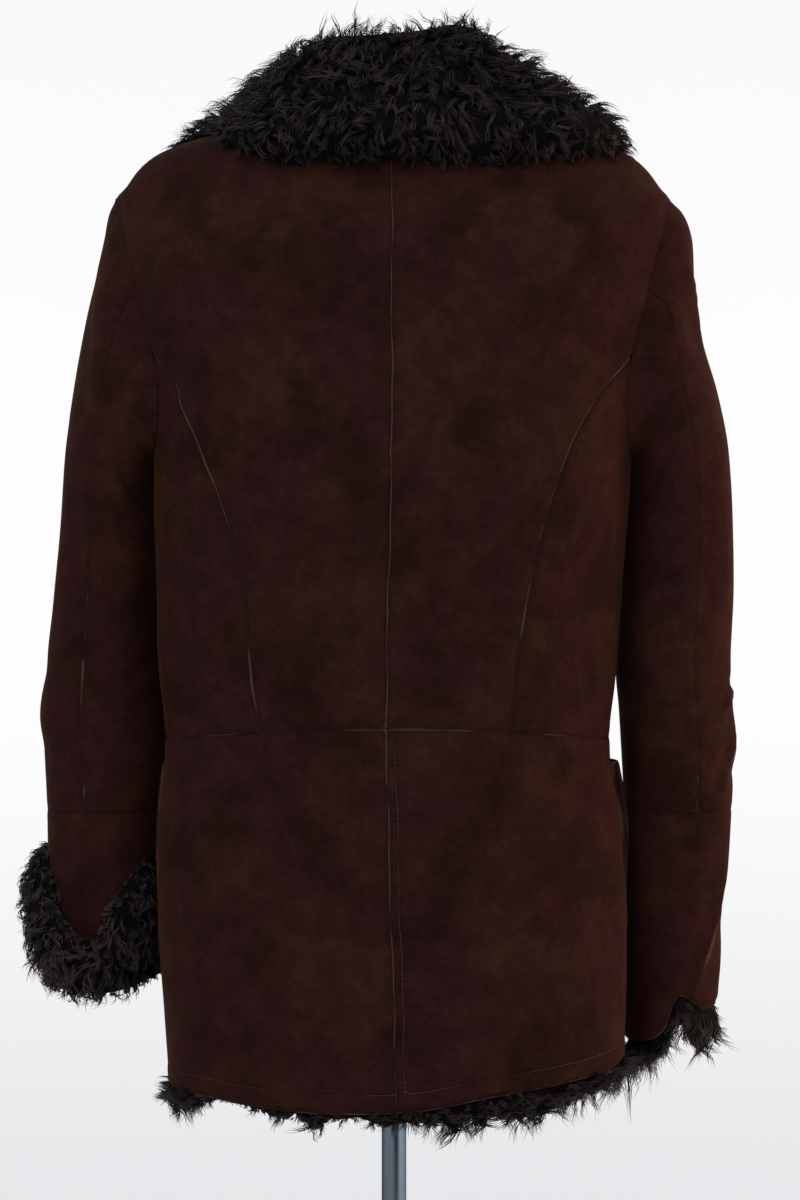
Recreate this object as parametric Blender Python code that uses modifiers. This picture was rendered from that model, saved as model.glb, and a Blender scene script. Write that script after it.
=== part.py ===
"""Shearling coat on a limbless dress form.

The coat is a hollow suede shell with curly fur at the collar, lapels, cuffs and hem. It hangs from the
form's shoulders, and the form stands on a pole and a round base.

Frame: metres, +Z up, origin at the middle of the base's underside, on the pole's axis. The coat's front
faces -Y, its back +Y, and the wearer's left is +X. Every panel is worked out for one side of the body:
angle 0 is the centre back, 90 degrees the side and 180 degrees the centre front. side is +1 for the
wearer's left and -1 for the right.
"""

import math

import bpy
import numpy as np

LEFT = 1
RIGHT = -1
SIDE_NAMES = {LEFT: "left", RIGHT: "right"}


def table(columns, *rows):
    """Rows of numbers as named columns."""
    return dict(zip(columns.split(), np.array(rows, dtype=float).T))


# ---------------------------------------------------------------- driving sizes

WALL = 0.003  # suede with its wool pressed flat at the seams
SEAM_GAP = 0.0003
LAY_GAP = 0.0006  # between a piece and the panel it lies on
FACET_GAP = 0.0013  # the same where the panel's flat facets lie in other places than the piece's

HEM = 0.640
WAIST = 0.915
UNDERARM = 1.115
SHOULDER = 1.318
NECK = 1.388

SQUARENESS = 2.3  # exponent of the superellipse that a horizontal section follows
WAIST_DIP = 0.010  # the waist seam is lower at the sides
WAIST_DIP_REACH = 0.060
NECK_SCOOP = 0.020  # the neckline is lower at the centre back
NECK_SCOOP_FROM = 1.300
HEM_TILT = 0.055  # the hem hangs lower on the wearer's left
HEM_DROP = 0.004  # and lower at the centre back

# Half sizes of the body's horizontal sections, and the place of their middle along X.
BODY = table(
    "height half_width back_depth front_depth middle",
    (0.640, 0.1745, 0.135, 0.135, -0.002),
    (0.700, 0.1775, 0.133, 0.136, -0.001),
    (0.760, 0.1795, 0.130, 0.138, 0.001),
    (0.820, 0.1785, 0.125, 0.137, 0.003),
    (0.860, 0.1755, 0.120, 0.134, 0.004),
    (0.900, 0.1710, 0.113, 0.1270, 0.005),
    (0.915, 0.1708, 0.112, 0.1260, 0.005),
    (0.970, 0.1765, 0.114, 0.1275, 0.005),
    (1.030, 0.1790, 0.122, 0.1360, 0.003),
    (1.080, 0.1825, 0.130, 0.148, 0.002),
    (1.115, 0.1840, 0.134, 0.148, 0.001),
    (1.160, 0.1920, 0.137, 0.142, 0.001),
    (1.210, 0.2020, 0.136, 0.128, 0.001),
    (1.260, 0.2100, 0.128, 0.110, 0.001),
    (1.295, 0.2140, 0.112, 0.092, 0.001),
    (1.318, 0.2135, 0.096, 0.080, 0.001),
    (1.328, 0.2055, 0.090, 0.075, 0.001),
    (1.342, 0.1935, 0.083, 0.070, 0.001),
    (1.351, 0.1820, 0.079, 0.067, 0.001),
    (1.360, 0.1600, 0.076, 0.066, 0.002),
    (1.370, 0.1250, 0.073, 0.067, 0.002),
    (1.380, 0.0950, 0.070, 0.070, 0.003),
    (1.388, 0.0760, 0.068, 0.074, 0.003),
)

# Armhole: rise is 0 at the underarm and 1 at the shoulder, reaches are degrees round from the side.
ARMHOLE = table(
    "rise back_reach front_reach",
    (0.00, 33.0, 36.0),
    (0.25, 30.0, 37.0),
    (0.45, 27.0, 37.0),
    (0.62, 24.0, 35.0),
    (0.80, 25.0, 31.0),
    (1.00, 28.0, 28.0),
)
ARMHOLE_STEP = 15  # degrees round the armhole between two points
PRINCESS_MEETS = 105  # degrees round the armhole where the princess seam runs into it
PRINCESS_TIP = 0.0012  # width left to the side panel there

# Princess seam: how far out from the centre back it runs.
PRINCESS = table(
    "height out",
    (0.915, 0.0920),
    (0.950, 0.0955),
    (1.020, 0.1040),
    (1.080, 0.1180),
    (1.120, 0.1310),
    (1.160, 0.1530),
)

# Front edge: its distance past the centre front, on the panel's own side. Negative is past the centre.
FRONT_EDGE = table(
    "height out",
    (0.640, -0.0200),
    (1.075, -0.0200),
    (1.150, 0.0010),
    (1.250, 0.0290),
    (1.330, 0.0500),
    (1.388, 0.0620),
)
UNDERLAP_IN = 0.024  # the left front is sunk by a wall from here to its edge
UNDERLAP_OUT = 0.036
UNDERLAP_TOP = 1.150
UNDERLAP_FADE = 0.040
UNDERLAP_LEAST = (0.008, 0.016)  # the sink's two columns stay this far from the front edge

# Heights of the rows of points.
LOWER_ROWS = (0.640, 0.665, 0.700, 0.735, 0.770, 0.800, 0.830, 0.860, 0.885, 0.905, 0.915)
CHEST_ROWS = (0.915, 0.935, 0.960, 0.990, 1.020, 1.050, 1.080, 1.100)
SHOULDER_ROWS = (1.328, 1.342, 1.351, 1.360, 1.370, 1.380, 1.388)

# Sleeves: each row is a ring, given by its outermost and innermost point, half its depth and the place
# of its middle along Y. Ring 0 is replaced by the armhole, and the next rings blend away from it.
SLEEVE = {
    LEFT: table(
        "outer_x outer_z inner_x inner_z half_depth centre_y",
        (0.2155, 1.318, 0.1845, 1.115, 0.070, -0.008),
        (0.2180, 1.306, 0.1872, 1.112, 0.071, -0.008),
        (0.2244, 1.283, 0.1872, 1.108, 0.071, -0.008),
        (0.2325, 1.250, 0.1870, 1.102, 0.070, -0.009),
        (0.2404, 1.212, 0.1868, 1.094, 0.069, -0.012),
        (0.2481, 1.170, 0.1862, 1.084, 0.067, -0.016),
        (0.2538, 1.125, 0.1858, 1.070, 0.065, -0.020),
        (0.2574, 1.075, 0.1850, 1.045, 0.062, -0.024),
        (0.2633, 1.020, 0.1832, 1.005, 0.059, -0.028),
        (0.2706, 0.965, 0.1815, 0.960, 0.057, -0.032),
        (0.2756, 0.925, 0.1785, 0.925, 0.055, -0.035),
        (0.2734, 0.890, 0.1792, 0.890, 0.054, -0.039),
        (0.2717, 0.847, 0.1822, 0.847, 0.052, -0.043),
        (0.2713, 0.800, 0.1845, 0.800, 0.051, -0.047),
        (0.2697, 0.750, 0.1852, 0.750, 0.050, -0.051),
        (0.2679, 0.710, 0.1858, 0.710, 0.050, -0.053),
    ),
    RIGHT: table(
        "outer_x outer_z inner_x inner_z half_depth centre_y",
        (0.2155, 1.318, 0.1835, 1.115, 0.070, -0.008),
        (0.2227, 1.306, 0.1855, 1.112, 0.071, -0.008),
        (0.2308, 1.283, 0.1848, 1.108, 0.071, -0.008),
        (0.2316, 1.250, 0.1842, 1.102, 0.070, -0.009),
        (0.2378, 1.212, 0.1836, 1.094, 0.069, -0.012),
        (0.2503, 1.170, 0.1827, 1.084, 0.068, -0.016),
        (0.2593, 1.125, 0.1815, 1.070, 0.066, -0.020),
        (0.2629, 1.075, 0.1788, 1.045, 0.063, -0.024),
        (0.2642, 1.020, 0.1760, 1.005, 0.060, -0.028),
        (0.2624, 0.965, 0.1730, 0.960, 0.057, -0.032),
        (0.2649, 0.925, 0.1758, 0.925, 0.055, -0.035),
        (0.2662, 0.890, 0.1780, 0.890, 0.054, -0.039),
        (0.2643, 0.847, 0.1800, 0.847, 0.052, -0.043),
        (0.2618, 0.800, 0.1798, 0.800, 0.050, -0.046),
        (0.2551, 0.750, 0.1795, 0.750, 0.049, -0.048),
        (0.2546, 0.715, 0.1798, 0.715, 0.049, -0.050),
        (0.2543, 0.660, 0.1830, 0.660, 0.049, -0.052),
    ),
}
ARMHOLE_BLEND = 4.0  # rings over which the sleeve leaves the armhole's shape
CUFF_SEAM_RING = 12
BACK_SEAM = 75  # degrees round the sleeve, from its outermost point through the back
FRONT_SEAM = 240
UPPER_SLEEVE_RINGS = (0.0, 0.5, 1.0, 2.0, 3.0, 4.0, 5.0, 6.0, 7.0, 8.0, 9.0, 10.0, 11.0, 12.0)

# Lower edge of each sleeve's suede, round from the outermost point through the back.
CUFF_EDGE = {
    LEFT: table("turn height", (0, 0.711), (360, 0.711)),
    RIGHT: table(
        "turn height",
        (0, 0.701),
        (30, 0.689),
        (55, 0.683),
        (82, 0.702),
        (105, 0.670),
        (180, 0.665),
        (240, 0.669),
        (300, 0.687),
        (360, 0.701),
    ),
}
CUFF_ROWS = 6

# Turned-back fur cuff of the left sleeve.
TURNBACK_BOTTOM = 0.704
TURNBACK_NOTCH = 0.748  # its upper edge at the back, where a V opens
TURNBACK_TOP = 0.815
NOTCH_TURN = 85  # degrees round the sleeve
NOTCH_REACH = 62
TURNBACK_ACROSS = table(
    "share fullness",
    (0, 0.30),
    (0.12, 0.78),
    (0.35, 1.0),
    (0.60, 1.0),
    (0.85, 0.85),
    (1, 0.45),
)
TURNBACK_TUFT = 0.10
TURNBACK_FUR = table(
    "turn thickness",
    (0, 0.024),
    (90, 0.023),
    (135, 0.014),
    (160, 0.0040),
    (205, 0.0035),
    (240, 0.012),
    (280, 0.021),
    (360, 0.024),
)

# Fur that shows below the right sleeve's edge.
PEEK_ROWS = (0.030, 0.001, -0.009, -0.022)  # heights of its rows above the edge
PEEK_FUR = 0.011
PEEK_TUFT = 0.004
PEEK_FLARE = 0.010

# Collar: the path of its outer edge on the body, its height at the neck and its thickness at the edge.
COLLAR = {
    LEFT: table(
        "angle neck_height edge_angle edge_height rise edge_fur",
        (0, 1.388, 0, 1.346, 0.073, 0.026),
        (30, 1.388, 28, 1.350, 0.068, 0.026),
        (50, 1.388, 45, 1.358, 0.060, 0.022),
        (65, 1.388, 60, 1.363, 0.052, 0.019),
        (78, 1.388, 75, 1.366, 0.045, 0.016),
        (90, 1.388, 90, 1.366, 0.040, 0.015),
        (110, 1.388, 112, 1.352, 0.038, 0.018),
        (127.5, 1.387, 126, 1.334, 0.038, 0.022),
        (153, 1.372, 136, 1.320, 0.034, 0.024),
        (163, 1.356, 141, 1.310, 0.028, 0.022),
    ),
    RIGHT: table(
        "angle neck_height edge_angle edge_height rise edge_fur",
        (0, 1.388, 0, 1.346, 0.073, 0.026),
        (30, 1.388, 28, 1.346, 0.073, 0.026),
        (50, 1.388, 45, 1.346, 0.066, 0.026),
        (65, 1.388, 60, 1.347, 0.050, 0.025),
        (78, 1.388, 75, 1.351, 0.040, 0.024),
        (90, 1.388, 90, 1.356, 0.036, 0.022),
        (110, 1.388, 110, 1.348, 0.036, 0.020),
        (127.5, 1.387, 126, 1.334, 0.038, 0.022),
        (153, 1.372, 136, 1.320, 0.034, 0.024),
        (163, 1.356, 141, 1.310, 0.028, 0.022),
    ),
}
COLLAR_STATIONS = 20  # on each side of the centre back
COLLAR_SHARES = (0, 0.2, 0.42, 0.62, 0.8, 0.92, 1.0)  # columns from the neck to the outer edge
COLLAR_ROUND_FROM = 0.8  # share from which the upper side rounds down to the edge
COLLAR_TUFT = 0.0025
COLLAR_TUFT_ALONG = 1.9  # radians of wave from one station to the next
COLLAR_TUFT_ACROSS = 7

# Lapels: fur side of the fronts, turned back over the chest. Each row runs from the front edge outward.
LAPEL = table(
    "front_height outer_height outer_out",
    (1.084, 1.084, 0.006),
    (1.102, 1.100, 0.036),
    (1.130, 1.122, 0.062),
    (1.165, 1.150, 0.088),
    (1.200, 1.178, 0.110),
    (1.235, 1.208, 0.130),
    (1.268, 1.238, 0.146),
    (1.298, 1.264, 0.156),
    (1.324, 1.285, 0.158),
    (1.341, 1.298, 0.149),
    (1.349, 1.303, 0.140),
)
LAPEL_FUR = 0.024
LAPEL_ACROSS = table(
    "share fullness",
    (0, 0.35),
    (0.12, 0.85),
    (0.35, 1.0),
    (0.60, 1.0),
    (0.82, 0.95),
    (0.95, 0.7),
    (1, 0.3),
)
LAPEL_ENDS = table(
    "row fullness",
    (0, 0.3),
    (1, 0.6),
    (2, 1.0),
    (8, 1.0),
    (9, 0.8),
    (10, 0.4),
)
LAPEL_TUFT = 0.08
LAPEL_FRONT_LEAST = 0.002  # the fur edge stays this far from the centre front

# Fur below the hem.
HEM_FUR_ABOVE = 0.018
HEM_FUR_BELOW = 0.010  # at the sides
HEM_FUR_LONGER = 0.005  # and this much more at the centre back
HEM_FUR_TUFT = 0.005
HEM_FUR = 0.012
HEM_FUR_FLARE = 0.0025
HEM_FUR_ACROSS = table(
    "share fullness",
    (0, 0.8),
    (0.4, 1.0),
    (0.7, 1.0),
    (1, 0.55),
)
HEM_FUR_FRONT_END = 0.040  # distance out of the centre front
HEM_FUR_INSET = 0.0020  # behind the panel, whose flat facets bow in by a millimetre

# Patch pockets on the lower fronts.
POCKET_BOTTOM = 0.750
POCKET_TOP = 0.893
POCKET_ANGLES = (94.0, 97.0, 100.5, 106.0, 114.0, 124.0, 136.0, 150.0)
POCKET_WALL = 0.0021
POCKET_GAPE = {LEFT: 0.0012, RIGHT: 0.0063}
POCKET_GAPE_FROM = 0.15  # share of its height at which it starts to stand off
POCKET_GAPE_FULL = 0.65
POCKET_GAPE_LEAN = 0.3  # below 1 it gapes most near the side seam

BUTTONS = table(
    "height stand_off",
    (1.050, 0.0009),
    (0.960, 0.0007),
    (0.870, 0.0001),
    (0.780, 0.0003),
)
BUTTON_RADIUS = 0.013
BUTTON_THICK = 0.005
BUTTON_RIM = 0.001
BUTTON_DISH = 0.0012

# Dress form: how far its surface lies inside the coat's outer surface.
FORM = table(
    "height inset",
    (0.750, 0.030),
    (0.915, 0.029),
    (1.050, 0.020),
    (1.150, 0.015),
    (1.250, 0.012),
    (1.300, 0.0075),
    (1.322, 0.0050),
    (1.372, 0.0050),
)
FORM_ROWS = (0.760, 0.780, 0.840, 0.900, 0.930, 0.980, 1.040, 1.090, 1.140, 1.190)
FORM_SHOULDER_ROWS = (1.230, 1.262, 1.2883, 1.3044, 1.318, 1.328, 1.342, 1.351, 1.360, 1.370)
FORM_LEVEL = 1.150  # below this height the form's sections are level
FORM_LEVEL_FADE = 0.050
FORM_EDGE = 0.010  # its lowest ring is smaller by this
FORM_MIDDLE = 0.002
FORM_NECK = table(
    "height half_width back_depth front_depth",
    (1.386, 0.062, 0.053, 0.058),
    (1.400, 0.057, 0.050, 0.056),
    (1.415, 0.055, 0.050, 0.056),
    (1.424, 0.050, 0.045, 0.051),
    (1.427, 0.036, 0.033, 0.037),
)
FORM_AROUND = 32

POLE_RADIUS = 0.0095
BASE_RADIUS = 0.170
BASE_THICK = 0.010
HUB_RADIUS = 0.020
HUB_TOP = 0.060

SUEDE = ((0.023, 0.009, 0.007), 0.92, 0.0)
FUR = ((0.012, 0.010, 0.010), 0.80, 0.0)
HORN = ((0.020, 0.012, 0.008), 0.35, 0.0)
CANVAS = ((0.55, 0.50, 0.43), 0.90, 0.0)
CHROME = ((0.55, 0.57, 0.58), 0.18, 1.0)


# ---------------------------------------------------------------- reading the tables


def smooth(knots, values, at):
    """Monotone cubic through the knots: it never overshoots between two rows."""
    at = np.clip(at, knots[0], knots[-1])
    step = np.diff(knots)
    slope = np.diff(values) / step
    same_way = slope[1:] * slope[:-1] > 0
    harmonic = 2 * slope[1:] * slope[:-1] / np.where(same_way, slope[1:] + slope[:-1], 1)
    tangent = np.concatenate(([slope[0]], np.where(same_way, harmonic, 0), [slope[-1]]))
    index = np.clip(np.searchsorted(knots, at) - 1, 0, len(step) - 1)
    t = (at - knots[index]) / step[index]
    rise = values[index + 1] - values[index]
    bend_in = tangent[index] * step[index] - rise
    bend_out = rise - tangent[index + 1] * step[index]
    return values[index] + t * rise + t * (1 - t) * ((1 - t) * bend_in + t * bend_out)


def read(rows, column, at):
    """Value of a column of a table at a place along the table's first column."""
    knots = next(iter(rows.values()))
    return smooth(knots, rows[column], np.asarray(at, dtype=float))


def ramp(value):
    """0 below 0, 1 above 1, and a smooth step between."""
    t = np.clip(value, 0, 1)
    return t * t * (3 - 2 * t)


def unit(vectors):
    """Vectors made one metre long."""
    return vectors / np.linalg.norm(vectors, axis=-1, keepdims=True)


def spread(value, power):
    """A power that keeps the value's sign."""
    return np.sign(value) * np.abs(value) ** power


# ---------------------------------------------------------------- the body's surface


def body_point(angle, height, side):
    """Point of the coat's outer surface, angle in radians, height before the seams' small waves."""
    angle, height = np.broadcast_arrays(np.asarray(angle, dtype=float), np.asarray(height, dtype=float))
    sine = np.sin(angle)
    cosine = np.cos(angle)
    depth = np.where(cosine > 0, read(BODY, "back_depth", height), read(BODY, "front_depth", height))
    width = read(BODY, "half_width", height) * spread(sine, 2 / SQUARENESS)
    x = read(BODY, "middle", height) + side * width
    y = depth * spread(cosine, 2 / SQUARENESS)
    dip = WAIST_DIP * sine**2 * np.exp(-(((height - WAIST) / WAIST_DIP_REACH) ** 2))
    backward = np.maximum(cosine, 0) ** 2
    scoop = NECK_SCOOP * backward * ramp((height - NECK_SCOOP_FROM) / (NECK - NECK_SCOOP_FROM))
    tilt = (HEM_TILT * x + HEM_DROP * backward) * ramp((WAIST - height) / (WAIST - HEM))
    return np.stack([x, y, height - dip - scoop - tilt], axis=-1)


def body_normal(angle, height, side):
    """Direction that points straight out of the coat's surface."""
    step = 1e-4
    along = body_point(angle + step, height, side) - body_point(angle - step, height, side)
    up = body_point(angle, height + step, side) - body_point(angle, height - step, side)
    return unit(np.cross(up, along)) * side


def coat_point(angle, height, side, out=0.0):
    """Point a distance outside the coat's surface."""
    out = np.asarray(out, dtype=float)[..., None]
    return body_point(angle, height, side) + body_normal(angle, height, side) * out


def stepped(angle, height, side, distance):
    """The angle that lies a distance further round the ring."""
    step = math.copysign(1e-3, distance)
    chord = body_point(angle + step, height, side) - body_point(angle, height, side)
    return angle + step * abs(distance) / np.linalg.norm(chord, axis=-1)


def back_angle(out, height):
    """Angle of a point of the back, from its distance out of the centre back."""
    return np.arcsin(np.clip(spread(out / read(BODY, "half_width", height), SQUARENESS / 2), -1, 1))


def front_angle(out, height):
    """Angle of a point of the front, from its distance out of the centre front."""
    return math.pi - back_angle(out, height)


# ---------------------------------------------------------------- solids


def wall_faces(rows, columns, around):
    """Faces of a wall between two grids of points: the outer grid comes first in the list of points."""
    outer = np.arange(rows * columns).reshape(rows, columns)
    if around:
        outer = np.concatenate([outer, outer[:, :1]], axis=1)
    inner = outer + rows * columns

    def quads(first, second, third, fourth):
        return np.stack([first.ravel(), second.ravel(), third.ravel(), fourth.ravel()], axis=1)

    faces = [
        quads(outer[:-1, :-1], outer[:-1, 1:], outer[1:, 1:], outer[1:, :-1]),
        quads(inner[:-1, :-1], inner[1:, :-1], inner[1:, 1:], inner[:-1, 1:]),
        quads(outer[0, :-1], inner[0, :-1], inner[0, 1:], outer[0, 1:]),
        quads(outer[-1, :-1], outer[-1, 1:], inner[-1, 1:], inner[-1, :-1]),
    ]
    if not around:
        faces.append(quads(outer[:-1, 0], outer[1:, 0], inner[1:, 0], inner[:-1, 0]))
        faces.append(quads(outer[:-1, -1], inner[:-1, -1], inner[1:, -1], outer[1:, -1]))
    return np.concatenate(faces).tolist()


def faces_out(points, faces):
    """The faces, turned over if they enclose a negative volume."""
    volume = 0.0
    for face in faces:
        for second, third in zip(face[1:-1], face[2:]):
            volume += float(np.dot(points[face[0]], np.cross(points[second], points[third])))
    return faces if volume > 0 else [face[::-1] for face in faces]


def dress(item, finish):
    """Give an object its own Principled material."""
    colour, roughness, metallic = finish
    material = bpy.data.materials.new(item.name)
    material.use_nodes = True
    shader = material.node_tree.nodes["Principled BSDF"]
    shader.inputs["Base Color"].default_value = (*colour, 1.0)
    shader.inputs["Roughness"].default_value = roughness
    shader.inputs["Metallic"].default_value = metallic
    item.data.materials.clear()
    item.data.materials.append(material)


def place(name, points, faces, finish):
    """Add a solid to the coat's collection."""
    mesh = bpy.data.meshes.new(name)
    mesh.from_pydata(points.tolist(), [], faces_out(points, faces))
    mesh.shade_smooth()
    mesh.set_sharp_from_angle(angle=math.radians(50))
    item = bpy.data.objects.new(name, mesh)
    bpy.data.collections["shearling_coat"].objects.link(item)
    dress(item, finish)
    return item


def wall(name, outer, inner, finish, around=False):
    """A closed wall between an outer and an inner grid of points."""
    rows, columns = outer.shape[:2]
    points = np.concatenate([outer.reshape(-1, 3), inner.reshape(-1, 3)])
    return place(name, points, wall_faces(rows, columns, around), finish)


def loft(name, rings, finish):
    """A closed solid through rings of points, with flat ends."""
    rows, columns = rings.shape[:2]
    index = np.arange(rows * columns).reshape(rows, columns)
    after = np.roll(index, -1, axis=1)
    sides = np.stack([index[:-1], after[:-1], after[1:], index[1:]], axis=-1).reshape(-1, 4).tolist()
    ends = [index[0, ::-1].tolist(), index[-1].tolist()]
    return place(name, rings.reshape(-1, 3), sides + ends, finish)


def turned(name, profile, steps, finish, location=(0, 0, 0), rotation=(0, 0, 0)):
    """A solid turned about Z from a profile of (radius, height) that runs from its top to its bottom."""
    mesh = bpy.data.meshes.new(name)
    points = [(radius, 0, height) for radius, height in profile]
    mesh.from_pydata(points, [(i, i + 1) for i in range(len(points) - 1)], [])
    item = bpy.data.objects.new(name, mesh)
    bpy.data.collections["shearling_coat"].objects.link(item)
    item.location = location
    item.rotation_euler = rotation
    screw = item.modifiers.new("turn", "SCREW")
    screw.steps = steps
    screw.render_steps = steps
    screw.use_merge_vertices = True
    screw.merge_threshold = 1e-5
    screw.use_smooth_shade = True
    dress(item, finish)
    return item


# ---------------------------------------------------------------- armhole


def armhole_height(turn):
    """Height of the armhole at a turn round it, 0 at the shoulder and pi at the underarm."""
    return UNDERARM + (1 + np.cos(turn)) / 2 * (SHOULDER - UNDERARM)


def armhole_angle(turn):
    """Angle round the body of the armhole: towards the back for turns up to pi, then towards the front."""
    rise = (1 + np.cos(turn)) / 2
    sine = np.sin(turn)
    reach = np.where(sine > 0, read(ARMHOLE, "back_reach", rise), read(ARMHOLE, "front_reach", rise))
    return math.pi / 2 - np.radians(reach) * sine


def armhole_point(turn, side):
    """Point of the armhole's edge on the coat's surface."""
    return body_point(armhole_angle(turn), armhole_height(turn), side)


def armhole_frame(turn, side):
    """The surface's normal at the armhole, and the direction along the surface into the hole."""
    step = 1e-3
    edge = armhole_point(turn, side)
    normal = body_normal(armhole_angle(turn), armhole_height(turn), side)
    along = armhole_point(turn + step, side) - armhole_point(turn - step, side)
    inward = unit(np.cross(normal, along))
    middle = body_point(math.pi / 2, (UNDERARM + SHOULDER) / 2, side)
    towards = np.sign(np.sum(inward * (middle - edge), axis=-1))[..., None]
    return normal, inward * towards


BACK_TURNS = np.radians(np.arange(180, -1, -ARMHOLE_STEP))
FRONT_TURNS = 2 * math.pi - BACK_TURNS


# ---------------------------------------------------------------- body panels


def rows_and_ends(rows, start, stop):
    """Heights of rows, the first and the last moved in by half a seam's gap where asked."""
    heights = np.array(rows, dtype=float)
    heights[0] += start * SEAM_GAP / 2
    heights[-1] -= stop * SEAM_GAP / 2
    return heights


def panel(name, heights, columns, side, sink=None):
    """A wall over a grid of angles, one list of angles a row; sink moves points in."""
    tall = heights[:, None] * np.ones_like(columns)
    out = np.zeros_like(columns) if sink is None else -sink
    inner = coat_point(columns, tall, side, out - WALL)
    return wall(name, coat_point(columns, tall, side, out), inner, SUEDE)


def between(first, last, count):
    """Angles evenly spaced from one edge of a panel to the other, a row for each pair."""
    t = np.linspace(0, 1, count)
    return first[:, None] * (1 - t) + last[:, None] * t


def princess_angle(height):
    """Angle of the princess seam; its top is where it meets the armhole."""
    meets = math.radians(PRINCESS_MEETS)
    top = armhole_height(meets)
    edge = stepped(armhole_angle(meets), top, LEFT, -PRINCESS_TIP)
    out = read(BODY, "half_width", top) * np.sin(edge) ** (2 / SQUARENESS)
    knots = np.append(PRINCESS["height"], top)
    outs = np.append(PRINCESS["out"], out)
    return back_angle(smooth(knots, outs, height), height)


def upper_rows():
    """Heights from the waist to the neck, and how many lie below the armhole and below the shoulder."""
    armhole = armhole_height(BACK_TURNS)
    rows = np.concatenate([CHEST_ROWS, armhole, SHOULDER_ROWS])
    rows[0] += SEAM_GAP / 2
    return rows, len(CHEST_ROWS), len(CHEST_ROWS) + len(armhole)


def side_line(rows, below, above, side, turns, way):
    """Edge of an upper panel: side seam, then armhole, then shoulder seam."""
    seam = stepped(math.pi / 2, rows, side, way * SEAM_GAP / 2)
    line = seam.copy()
    line[below + 1 : above - 1] = armhole_angle(turns[1:-1])
    return line


def back_center(side):
    """Middle panel of the back, from the waist to the neck and shoulder."""
    rows, below, above = upper_rows()
    meets = below + int((180 - PRINCESS_MEETS) / ARMHOLE_STEP)
    edge = side_line(rows, below, above, side, BACK_TURNS, -1)
    princess = princess_angle(rows[: meets + 1])
    edge[: meets + 1] = stepped(princess, rows[: meets + 1], side, -SEAM_GAP / 2)
    middle = stepped(0.0, rows, side, SEAM_GAP / 2)
    panel(f"back_center_{SIDE_NAMES[side]}", rows, between(middle, edge, 7), side)


def back_side(side):
    """Side panel of the back, from the waist up to its tip at the armhole."""
    rows, below, above = upper_rows()
    edge = side_line(rows, below, above, side, BACK_TURNS, -1)
    meets = below + int((180 - PRINCESS_MEETS) / ARMHOLE_STEP)
    rows = rows[: meets + 1]
    princess = stepped(princess_angle(rows), rows, side, SEAM_GAP / 2)
    panel(f"back_side_{SIDE_NAMES[side]}", rows, between(princess, edge[: meets + 1], 5), side)


def back_lower(side):
    """Back of the skirt, from the hem to the waist."""
    rows = rows_and_ends(LOWER_ROWS, 0, 1)
    middle = stepped(0.0, rows, side, SEAM_GAP / 2)
    edge = stepped(math.pi / 2, rows, side, -SEAM_GAP / 2)
    panel(f"back_lower_{SIDE_NAMES[side]}", rows, between(middle, edge, 8), side)


def front_columns(rows, edge, side):
    """Angles of a front, with a column on each side of the ramp where the left front sinks."""
    front = read(FRONT_EDGE, "out", rows)
    ramp_in = np.maximum(UNDERLAP_IN, front + UNDERLAP_LEAST[0])
    ramp_out = np.maximum(UNDERLAP_OUT, front + UNDERLAP_LEAST[1])
    main = between(edge, front_angle(ramp_out, rows), 7)
    rest = [front_angle(ramp_in, rows), front_angle((ramp_in + front) / 2, rows), front_angle(front, rows)]
    columns = np.concatenate([main, np.stack(rest, axis=1)], axis=1)
    out = read(BODY, "half_width", rows)[:, None] * spread(np.sin(columns), 2 / SQUARENESS)
    level = np.clip((UNDERLAP_TOP + UNDERLAP_FADE - rows) / UNDERLAP_FADE, 0, 1)[:, None]
    share = np.clip((UNDERLAP_OUT - out) / (UNDERLAP_OUT - UNDERLAP_IN), 0, 1) * (columns > math.pi / 2)
    sink = (WALL + SEAM_GAP) * share * level
    return columns, sink if side == LEFT else None


def front_upper(side):
    """Front from the waist to the shoulder; the right one closes over the left one."""
    rows, below, above = upper_rows()
    edge = side_line(rows, below, above, side, FRONT_TURNS, 1)
    columns, sink = front_columns(rows, edge, side)
    panel(f"front_upper_{SIDE_NAMES[side]}", rows, columns, side, sink)


def front_lower(side):
    """Front of the skirt."""
    rows = rows_and_ends(LOWER_ROWS, 0, 1)
    edge = stepped(math.pi / 2, rows, side, SEAM_GAP / 2)
    columns, sink = front_columns(rows, edge, side)
    panel(f"front_lower_{SIDE_NAMES[side]}", rows, columns, side, sink)


def pocket(side):
    """Patch pocket made from the front's points moved out; its top edge stands open."""
    rows = np.linspace(POCKET_BOTTOM, POCKET_TOP, 7)
    angles = np.radians(POCKET_ANGLES)
    tall, turn = np.meshgrid(rows, angles, indexing="ij")
    up = (tall - POCKET_BOTTOM) / (POCKET_TOP - POCKET_BOTTOM)
    across = (turn - angles[0]) / (angles[-1] - angles[0])
    opened = ramp((up - POCKET_GAPE_FROM) / (POCKET_GAPE_FULL - POCKET_GAPE_FROM))
    gape = POCKET_GAPE[side] * opened * np.sin(math.pi * across**POCKET_GAPE_LEAN)
    inner = FACET_GAP + gape
    wall(
        f"pocket_{SIDE_NAMES[side]}",
        coat_point(turn, tall, side, inner + POCKET_WALL),
        coat_point(turn, tall, side, inner),
        SUEDE,
    )


# ---------------------------------------------------------------- sleeves


def sleeve_planar(turn, ring, side):
    """Ellipse through a ring's outermost and innermost points."""
    rows = SLEEVE[side]
    rings = np.arange(len(rows["outer_x"]), dtype=float)

    def at(column):
        return smooth(rings, rows[column], ring)

    x = (at("outer_x") + at("inner_x")) / 2 + (at("outer_x") - at("inner_x")) / 2 * np.cos(turn)
    z = (at("outer_z") + at("inner_z")) / 2 + (at("outer_z") - at("inner_z")) / 2 * np.cos(turn)
    y = at("centre_y") + at("half_depth") * np.sin(turn)
    return np.stack([side * x, y, z], axis=-1)


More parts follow.
